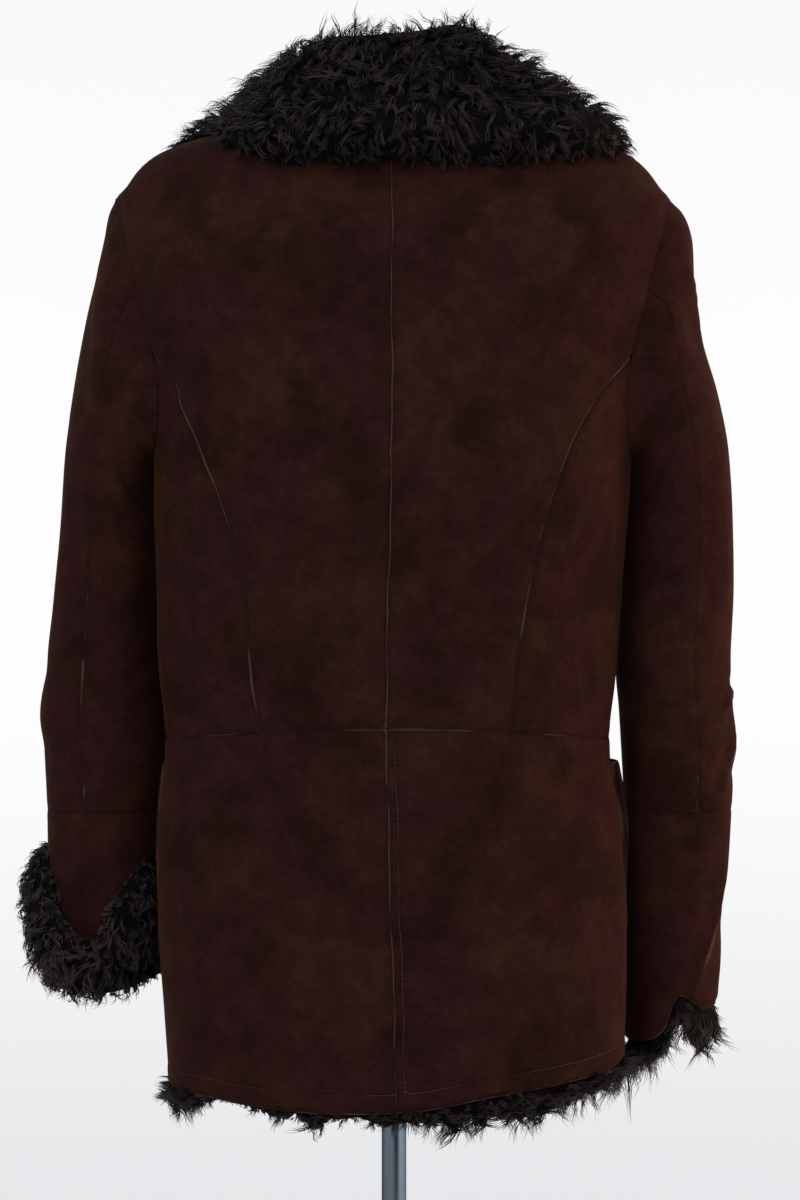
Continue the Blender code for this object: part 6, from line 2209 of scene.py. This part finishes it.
@dataclass
class Buttons:
    """Four-hole horn buttons on the right front, sewn on with crossed thread."""

    coat: CoatForm
    horn: bpy.types.Material
    thread: bpy.types.Material
    places: Table = Table(
        "number height stand_off",
        (1, 1.050, 0.0009), (2, 0.960, 0.0007), (3, 0.870, 0.0001), (4, 0.780, 0.0003),
    )
    radius: float = 0.013
    thick: float = 0.005
    rim: float = 0.001
    dish: float = 0.0012
    hole: float = 0.0011
    hole_out: float = 0.0030
    thread_radius: float = 0.00042
    thread_pitch: float = 0.0009
    thread_arch: float = 0.0009
    thread_cross: float = 0.0007
    thread_sunk: float = 0.0006
    thread_around: int = 8
    thread_knots: int = 13
    core: float = 0.42
    dish_floor: float = 0.58
    dish_wall: float = 0.66
    dish_edge: float = 0.73
    edge_fall: float = 0.0001
    around: int = 64
    hole_around: int = 16

    def frame(self, height: float, stand_off: float) -> tuple[Array, Array, Array, Array]:
        """Middle of a button and its three axes: across, up and out of the coat."""
        turn = np.array(math.pi)
        point = self.coat.point(turn, np.array(height), Side.RIGHT)
        normal = self.coat.normal(turn, np.array(height), Side.RIGHT)
        rim = height + np.array((-1, 0, 1)) * self.radius
        bulge = float(np.max((self.coat.point(turn, rim, Side.RIGHT) - point) @ normal))
        middle = point + normal * (self.thick / 2 + stand_off + bulge)
        across = np.array((1.0, 0, 0))
        return middle, across, np.cross(normal, across), normal

    def disc(self, inner: float) -> Array:
        """Half profile of a disc: rows of (radius, height) from an inner radius on top to the underside."""
        half, radius = self.thick / 2, self.radius
        bend = np.linspace(0, math.pi / 2, 5)
        low = half - self.dish
        top = [(inner, low), (radius * self.dish_floor, low)]
        top.append((radius * self.dish_wall, low + 0.25 * self.dish))
        top.append((radius * self.dish_edge, half - self.edge_fall))
        round_off, past = self.rim, radius - self.rim
        rim = [(past + round_off * math.sin(a), half - round_off + round_off * math.cos(a)) for a in bend]
        foot = [(past + round_off * math.cos(a), -half + round_off - round_off * math.sin(a)) for a in bend]
        return np.array(top + rim + foot + [(inner, -half)])

    def blank(self) -> tuple[Array, Array]:
        """A disc with four holes, each wall a tube from the top to the underside.

        The disc's middle is cut into four quarters. In each a ring of points round the hole is joined to a
        ring of as many points round the quarter's own border. Quarters side by side share their points there.

        Returns:
            Points and quads.
        """
        profile = self.disc(self.radius * self.core)
        turn = full_turn(self.around)
        radius, height = profile[:, :1], profile[:, 1:]
        outer = np.stack([radius * np.cos(turn), radius * np.sin(turn), height * np.ones(self.around)], -1)
        points, quads = [outer.reshape(-1, 3)], [grid_quads(len(profile), self.around, True)]
        count = len(profile) * self.around
        quarter = self.around // 4
        reach = profile[0, 0]
        per_side = (self.hole_around * 2 - quarter) // 2
        for number in range(4):
            start = number * math.pi / 2
            arc = start + np.linspace(0, math.pi / 2, quarter + 1)
            curve = np.stack([reach * np.cos(arc), reach * np.sin(arc)], -1)
            share = np.linspace(1, 0, per_side + 1)[1:, None]
            back = np.concatenate([curve[-1:] * share, curve[:1] * share[::-1][1:]])
            border = np.concatenate([curve, back])
            middle = np.array((math.cos(start + math.pi / 4), math.sin(start + math.pi / 4))) * self.hole_out
            way = border - middle
            ring = middle + way / np.linalg.norm(way, axis=1, keepdims=True) * self.hole
            high, low = profile[0, 1], profile[-1, 1]
            levels = ((border, high), (ring, high), (ring, low), (border, low))
            loops = np.array([np.column_stack([line, np.full(len(line), z)]) for line, z in levels])
            points.append(loops.reshape(-1, 3))
            quads.append(grid_quads(4, len(border), True, count)[:, ::-1])
            count += loops.size // 3
        return np.concatenate(points), np.concatenate(quads)

    def stitches(self) -> tuple[Array, Array, Array]:
        """Two crossed runs of thread from hole to hole, each an arched tube with closed ends."""
        t = np.linspace(0, 1, self.thread_knots)[:, None]
        turn = full_turn(self.thread_around)
        top = self.thick / 2 - self.dish
        points, quads, ends, count = [], [], [], 0
        for number, shift in ((0, 0.0), (1, 0.0), (0, self.thread_pitch), (1, self.thread_pitch)):
            angle = math.pi / 4 + number * math.pi / 2
            way = np.array((math.cos(angle), math.sin(angle), 0))
            side = np.array((-way[1], way[0], 0))
            arch = self.thread_arch + number * self.thread_cross
            lift = np.sin(math.pi * t) ** 0.35 * arch - self.thread_sunk
            path = way * (2 * t - 1) * self.hole_out + side * (shift - self.thread_pitch / 2)
            path = path + UP * (top + lift)
            tangent = unit(np.gradient(path, axis=0))
            up = np.cross(tangent, side)
            ring = side * np.cos(turn)[:, None] + up[:, None] * np.sin(turn)[:, None]
            body = path[:, None] + ring * self.thread_radius
            points.append(np.concatenate([body.reshape(-1, 3), path[[0, -1]]]))
            quads.append(grid_quads(len(t), len(turn), True, count))
            ends.append(end_fans(len(t), len(turn), count))
            count += len(t) * len(turn) + 2
        return np.concatenate(points), np.concatenate(quads), np.concatenate(ends)

    def build(self) -> None:
        """Make the buttons and their thread."""
        for number, height, stand_off in zip(*self.places.columns.values()):
            middle, across, up, out = self.frame(height, stand_off)
            axes = np.stack([across, up, out])
            points, quads = self.blank()
            name = f"button_{int(number)}"
            item = Part(f"horn_{name}", points @ axes + middle, quads, sharp=40.0).build(self.horn)
            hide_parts(name)
            points, quads, ends = self.stitches()
            sewn = Part(f"thread_{name}", points @ axes + middle, quads, ends, sharp=None)
            thread = sewn.build(self.thread)
        LOG.info("buttons: %d with their thread", len(self.places.knots))


# ---------------------------------------------------------------- dress form and stand


@dataclass
class DressForm:
    """Limbless form that fills the coat and carries its shoulders, covered in jersey."""

    coat: CoatForm
    cover: bpy.types.Material
    insets: Table = Table(
        "height inset",
        (0.750, 0.030), (0.915, 0.029), (1.050, 0.020), (1.150, 0.015), (1.250, 0.012), (1.300, 0.0075),
        (1.322, 0.0050), (1.372, 0.0050),
    )
    neck: Table = Table(
        "height half_width back_depth front_depth",
        (1.386, 0.062, 0.053, 0.058), (1.400, 0.057, 0.050, 0.056), (1.415, 0.055, 0.050, 0.056),
        (1.424, 0.050, 0.045, 0.051), (1.427, 0.036, 0.033, 0.037),
    )
    bottom: float = 0.760
    top: float = 1.370
    level: float = 1.150
    level_fade: float = 0.050
    edge: float = 0.010
    edge_rows: float = 0.020
    middle: float = 0.002
    around: int = 96

    def rings(self) -> Array:
        """Rings of the trunk and the neck; the lowest ring is drawn in, and the neck closes in a flat cap."""
        around = full_turn(self.around)
        angle = np.minimum(around, 2 * math.pi - around)
        rings = []
        low = self.bottom + self.edge_rows * np.linspace(0, 1, 6)[:-1]
        trunk = np.linspace(self.bottom + self.edge_rows, 1.262, 34)
        shoulder = np.linspace(1.262, self.top, 30)[1:]
        for height in np.concatenate([low, trunk, shoulder]):
            in_edge = 1 - (height - self.bottom) / self.edge_rows
            inset = self.insets.read("inset", height) + self.edge * max(0.0, float(in_edge)) ** 2
            tall = np.full_like(angle, height)
            left = self.coat.at(angle, tall, Side.LEFT, -inset)
            right = self.coat.at(angle, tall, Side.RIGHT, -inset)
            ring = np.where((around <= math.pi)[:, None], left, right)
            level = ramp((height - self.level) / self.level_fade)
            ring[:, 2] = height * (1 - level) + ring[:, 2] * level
            rings.append(ring)
        for height in np.concatenate([np.linspace(1.386, 1.415, 10), np.linspace(1.418, 1.427, 6)]):
            read = self.neck.read
            depth = np.where(np.cos(around) > 0, read("back_depth", height), read("front_depth", height))
            x = self.middle + read("half_width", height) * np.sin(around)
            rings.append(np.stack([x, depth * np.cos(around), np.full_like(x, height)], axis=-1))
        return np.array(rings)

    def build(self) -> None:
        """Make the form as one closed skin."""
        rings = self.rings()
        quads, ends = grid_quads(len(rings), self.around, True), end_fans(len(rings), self.around)
        points = np.concatenate([rings.reshape(-1, 3), rings[[0, -1]].mean(axis=1)])
        item = Part("dress_form", points, quads, ends, sharp=60.0).build(self.cover)
        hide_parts("form_torso")
        LOG.info("dress form: %d rings of %d points", len(rings), self.around)


@dataclass
class Stand:
    """Steel pole and round base with a hub."""

    steel: bpy.types.Material
    plate: bpy.types.Material
    pole_radius: float = 0.0095
    pole_top: float = 0.760
    base_radius: float = 0.170
    base_thick: float = 0.010
    hub_radius: float = 0.020
    hub_top: float = 0.060
    gap: float = 0.0003
    pole_edge: float = 0.0005
    hub_edge: float = 0.003
    hub_bore: float = 0.0105
    fillet: float = 0.010
    base_fall: float = 0.003
    base_slope: tuple[float, float] = (0.05, 0.166)
    base_edge: float = 0.004
    base_edge_rise: float = 0.003
    base_bevel: float = 0.0006

    def build(self) -> None:
        """Make the pole and the base as turned shapes."""
        edge = self.pole_edge
        foot, head = self.hub_top + self.gap, self.pole_top - self.gap
        radius = self.pole_radius
        profile = [(radius - edge, foot), (radius, foot + edge)]
        profile += [(radius, height) for height in np.linspace(foot + 0.02, head - 0.02, 12)]
        profile += [(radius, head - edge), (radius - edge, head)]
        pole = Part("steel_pole", *lathe(np.array(profile), 64)).build(self.steel)
        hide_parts("form_pole")
        bend = np.linspace(0, math.pi / 2, 7)
        edge, hub, thick, wide = self.hub_edge, self.hub_radius, self.base_thick, self.base_radius
        outline = [(self.hub_bore, self.hub_top)]
        outline += [(hub - edge + edge * math.sin(a), self.hub_top - edge + edge * math.cos(a)) for a in bend]
        turn = self.fillet
        outline += [(hub + turn - turn * math.cos(a), thick + turn - turn * math.sin(a)) for a in bend]
        slope = np.linspace(*self.base_slope, 10)
        outline += [(out, thick - self.base_fall * (out / wide) ** 2) for out in slope]
        edge, rise = self.base_edge, self.base_edge_rise
        outline += [(wide - edge + edge * math.sin(a), rise + edge * math.cos(a)) for a in bend]
        outline += [(wide, self.base_bevel), (wide - self.base_bevel, 0.0)]
        base = Part("steel_base", *lathe(np.array(outline), 96)).build(self.plate)
        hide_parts("form_base")
        LOG.info("stand: pole and base")


# ---------------------------------------------------------------- studio


@dataclass(frozen=True)
class Lamp:
    """Square soft lamp: its name, where it hangs, its side in metres, its power in watts and its colour."""

    name: str
    place: Triple
    size: float
    power: float
    colour: Triple


LAMPS = (
    Lamp("key", (0.4, 2.0, 2.8), 1.6, 27.0, (1.0, 0.985, 0.97)),
    Lamp("fill", (-1.5, 2.0, 1.1), 1.0, 4.0, (1.0, 0.975, 0.96)),
    Lamp("rim", (-2.2, -0.25, 1.35), 0.8, 23.0, (1.0, 0.56, 0.27)),
)


@dataclass
class Studio:
    """Pale floor, white surroundings, soft lamps and the camera behind the coat."""

    camera_x: float = -0.0046
    camera_y: float = 2.4
    camera_z: float = 1.010
    view_angle: float = 21.8
    aim: Triple = (0, 0, 1.0)
    floor_radius: float = 2.2
    floor_hole: float = 0.5
    floor_top: float = -0.0002
    floor_foot: float = -0.004
    floor_light: Colour = (0.82, 0.82, 0.82, 1)
    floor_dark: Colour = (0.78, 0.78, 0.79, 1)
    top: Colour = (0.945, 0.945, 0.950, 1)
    middle: Colour = (0.985, 0.985, 0.985, 1)
    bottom: Colour = (0.780, 0.785, 0.810, 1)
    behind: Colour = (1.0, 1.0, 1.0, 1)
    before: Colour = (0.45, 0.445, 0.44, 1)
    mirrored: Table = Table(
        "degrees brightness",
        (-180, 0.16), (-150, 0.20), (-120, 0.48), (-72, 0.74), (-52, 0.66), (-36, 0.12), (-18, 0.05),
        (-4, 0.14), (12, 0.34), (72, 0.36), (118, 0.22), (140, 0.08), (180, 0.10),
    )
    steel_cast: Triple = (0.93, 1.0, 1.07)
    lamps: tuple[Lamp, ...] = LAMPS

    def floor(self) -> None:
        """Round matte floor."""
        material, nodes, shader = new_material("pale floor")
        tint = nodes.mix(nodes.noise(nodes.place(), 3.0, 4.0), self.floor_dark, self.floor_light)
        nodes.fill(shader, {"Base Color": tint, "Roughness": 0.85})
        inner, outer, top, foot = self.floor_hole, self.floor_radius, self.floor_top, self.floor_foot
        points, quads, ends = lathe(np.array([(inner, top), (outer, top), (outer, foot), (inner, foot)]), 96)
        mesh = bpy.data.meshes.new("floor")
        mesh.from_pydata(points.tolist(), [], quads.tolist() + ends.tolist())
        mesh.materials.append(material)
        floor = bpy.data.objects.new("floor", mesh)
        bpy.context.scene.collection.objects.link(floor)

    def panels(self, nodes: Nodes, x: Socket, y: Socket) -> Socket:
        """Light and dark upright panels that polished steel mirrors, by the angle round the vertical."""
        turn = nodes.math("ARCTAN2", x, y)
        share = nodes.math("MULTIPLY_ADD", turn, 0.5 / math.pi, 0.5)
        strip = nodes.add("ShaderNodeValToRGB", {"Fac": share})
        stops = strip.color_ramp.elements
        places = (self.mirrored["degrees"] + 180) / 360
        while len(stops) < len(places):
            stops.new(0.5)
        for stop, place, value in zip(stops, places, self.mirrored["brightness"]):
            stop.position = place
            stop.color = (*(value * cast for cast in self.steel_cast), 1.0)
        return strip.outputs["Color"]

    def surroundings(self) -> None:
        """World: a pale backdrop for the eye, and light that comes mostly from beyond the coat."""
        world = bpy.data.worlds.new("studio")
        world.use_nodes = True
        nodes = Nodes(world.node_tree)
        way = nodes.add("ShaderNodeTexCoord").outputs["Generated"]
        split = nodes.add("ShaderNodeSeparateXYZ", {0: way}).outputs
        seen = nodes.mix(nodes.span(split["Z"], -0.22, -0.02), self.bottom, self.middle)
        seen = nodes.mix(nodes.span(split["Z"], 0.04, 0.22), seen, self.top)
        light = nodes.mix(nodes.span(split["Y"], -0.75, 0.25), self.behind, self.before)
        path = nodes.add("ShaderNodeLightPath").outputs
        light = nodes.mix(path["Is Glossy Ray"], light, self.panels(nodes, split["X"], split["Y"]))
        background = world.node_tree.nodes["Background"]
        nodes.fill(background, {"Color": nodes.mix(path["Is Camera Ray"], light, seen), "Strength": 1.0})
        bpy.context.scene.world = world

    def hang(self, lamp: Lamp) -> None:
        """Hang a lamp so that it points at the coat."""
        data = bpy.data.lights.new(lamp.name, "AREA")
        data.size, data.energy, data.color = lamp.size, lamp.power, lamp.colour
        item = bpy.data.objects.new(lamp.name, data)
        bpy.context.scene.collection.objects.link(item)
        item.location = lamp.place
        item.rotation_euler = (Vector(self.aim) - Vector(lamp.place)).to_track_quat("-Z", "Y").to_euler()

    def camera(self) -> None:
        """Level camera that looks along -Y."""
        data = bpy.data.cameras.new("camera")
        data.sensor_fit = "VERTICAL"
        data.angle_y = math.radians(self.view_angle)
        data.clip_start = 0.01
        camera = bpy.data.objects.new("camera", data)
        bpy.context.scene.collection.objects.link(camera)
        camera.location = (self.camera_x, self.camera_y, self.camera_z)
        camera.rotation_euler = (math.pi / 2, 0, math.pi)
        bpy.context.scene.camera = camera

    def build(self) -> None:
        """Set up the studio."""
        self.camera()
        self.floor()
        self.surroundings()
        for lamp in self.lamps:
            self.hang(lamp)
        bpy.context.scene.view_settings.view_transform = "Standard"
        bpy.context.scene.view_settings.look = "None"


# ---------------------------------------------------------------- the whole part


SUEDE_DYE = Dye((0.0244, 0.0076, 0.0076, 1), (0.0284, 0.0104, 0.0070, 1), (0.0158, 0.0056, 0.0046, 1), 13)
LINING_DYE = Dye((0.016, 0.0135, 0.0138, 1), (0.014, 0.0105, 0.0085, 1), (0.008, 0.007, 0.0072, 1), 34)
# The undercoat's near black is partly the dark wool's own colour and partly painted shade of the fur's depths
# between the locks.
UNDERCOAT_DYE_AND_SHADE = Dye((0.005, 0.0041, 0.0042, 1), (0.0048, 0.0036, 0.0033, 1), (0.0028, 0.0024, 0.0025, 1), 34)
# Stretches of the sleeves' back seams that are lighter, rubbed wear and painted highlight: lowest and highest
# height, and how much.
LEFT_DASHES = ((1.008, 1.030, 0.45), (0.972, 0.988, 0.5), (0.912, 0.968, 1.0), (0.849, 0.872, 1.0))
RIGHT_DASHES = ((1.035, 1.064, 0.5), (0.846, 0.878, 0.8))


def main() -> None:
    """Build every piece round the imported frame."""
    logging.basicConfig(level=logging.INFO, format="%(name)s %(message)s")
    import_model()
    coat = CoatForm()
    left = SleeveForm(coat, Side.LEFT, LEFT_RINGS, LEFT_EDGE)
    right = SleeveForm(coat, Side.RIGHT, RIGHT_RINGS, RIGHT_EDGE)
    Studio().build()
    effects = Effects()
    suede = SuedeFinish(effects, SUEDE_DYE).material()
    lining = WoolFinish(effects, "clipped wool", LINING_DYE).material()
    undercoat_wool = WoolFinish(effects, "fur undercoat", UNDERCOAT_DYE_AND_SHADE).material()
    locks = LockFinish().material()
    DressForm(coat, JerseyFinish().material()).build()
    plate = SteelFinish("steel plate", brush_waves=(60.0, 60.0, 60.0)).material()
    Stand(SteelFinish("brushed steel").material(), plate).build()
    Bodice(coat, suede, lining).build()
    Sleeve(left, LEFT_SLEEVE_CREASES, LEFT_DASHES, suede, lining).build()
    Sleeve(right, RIGHT_SLEEVE_CREASES, RIGHT_DASHES, suede, lining).build()
    Collar(coat, suede, undercoat_wool, locks).build()
    for side in Side:
        Lapel(coat, side, undercoat_wool, locks).build()
        HemFur(coat, side, undercoat_wool, locks).build()
    LeftCuff(left, undercoat_wool, locks).build()
    RightCuff(right, undercoat_wool, locks).build()
    Buttons(coat, HornFinish().material(), ThreadFinish().material()).build()
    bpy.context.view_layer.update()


if __name__ == "__main__":
    main()
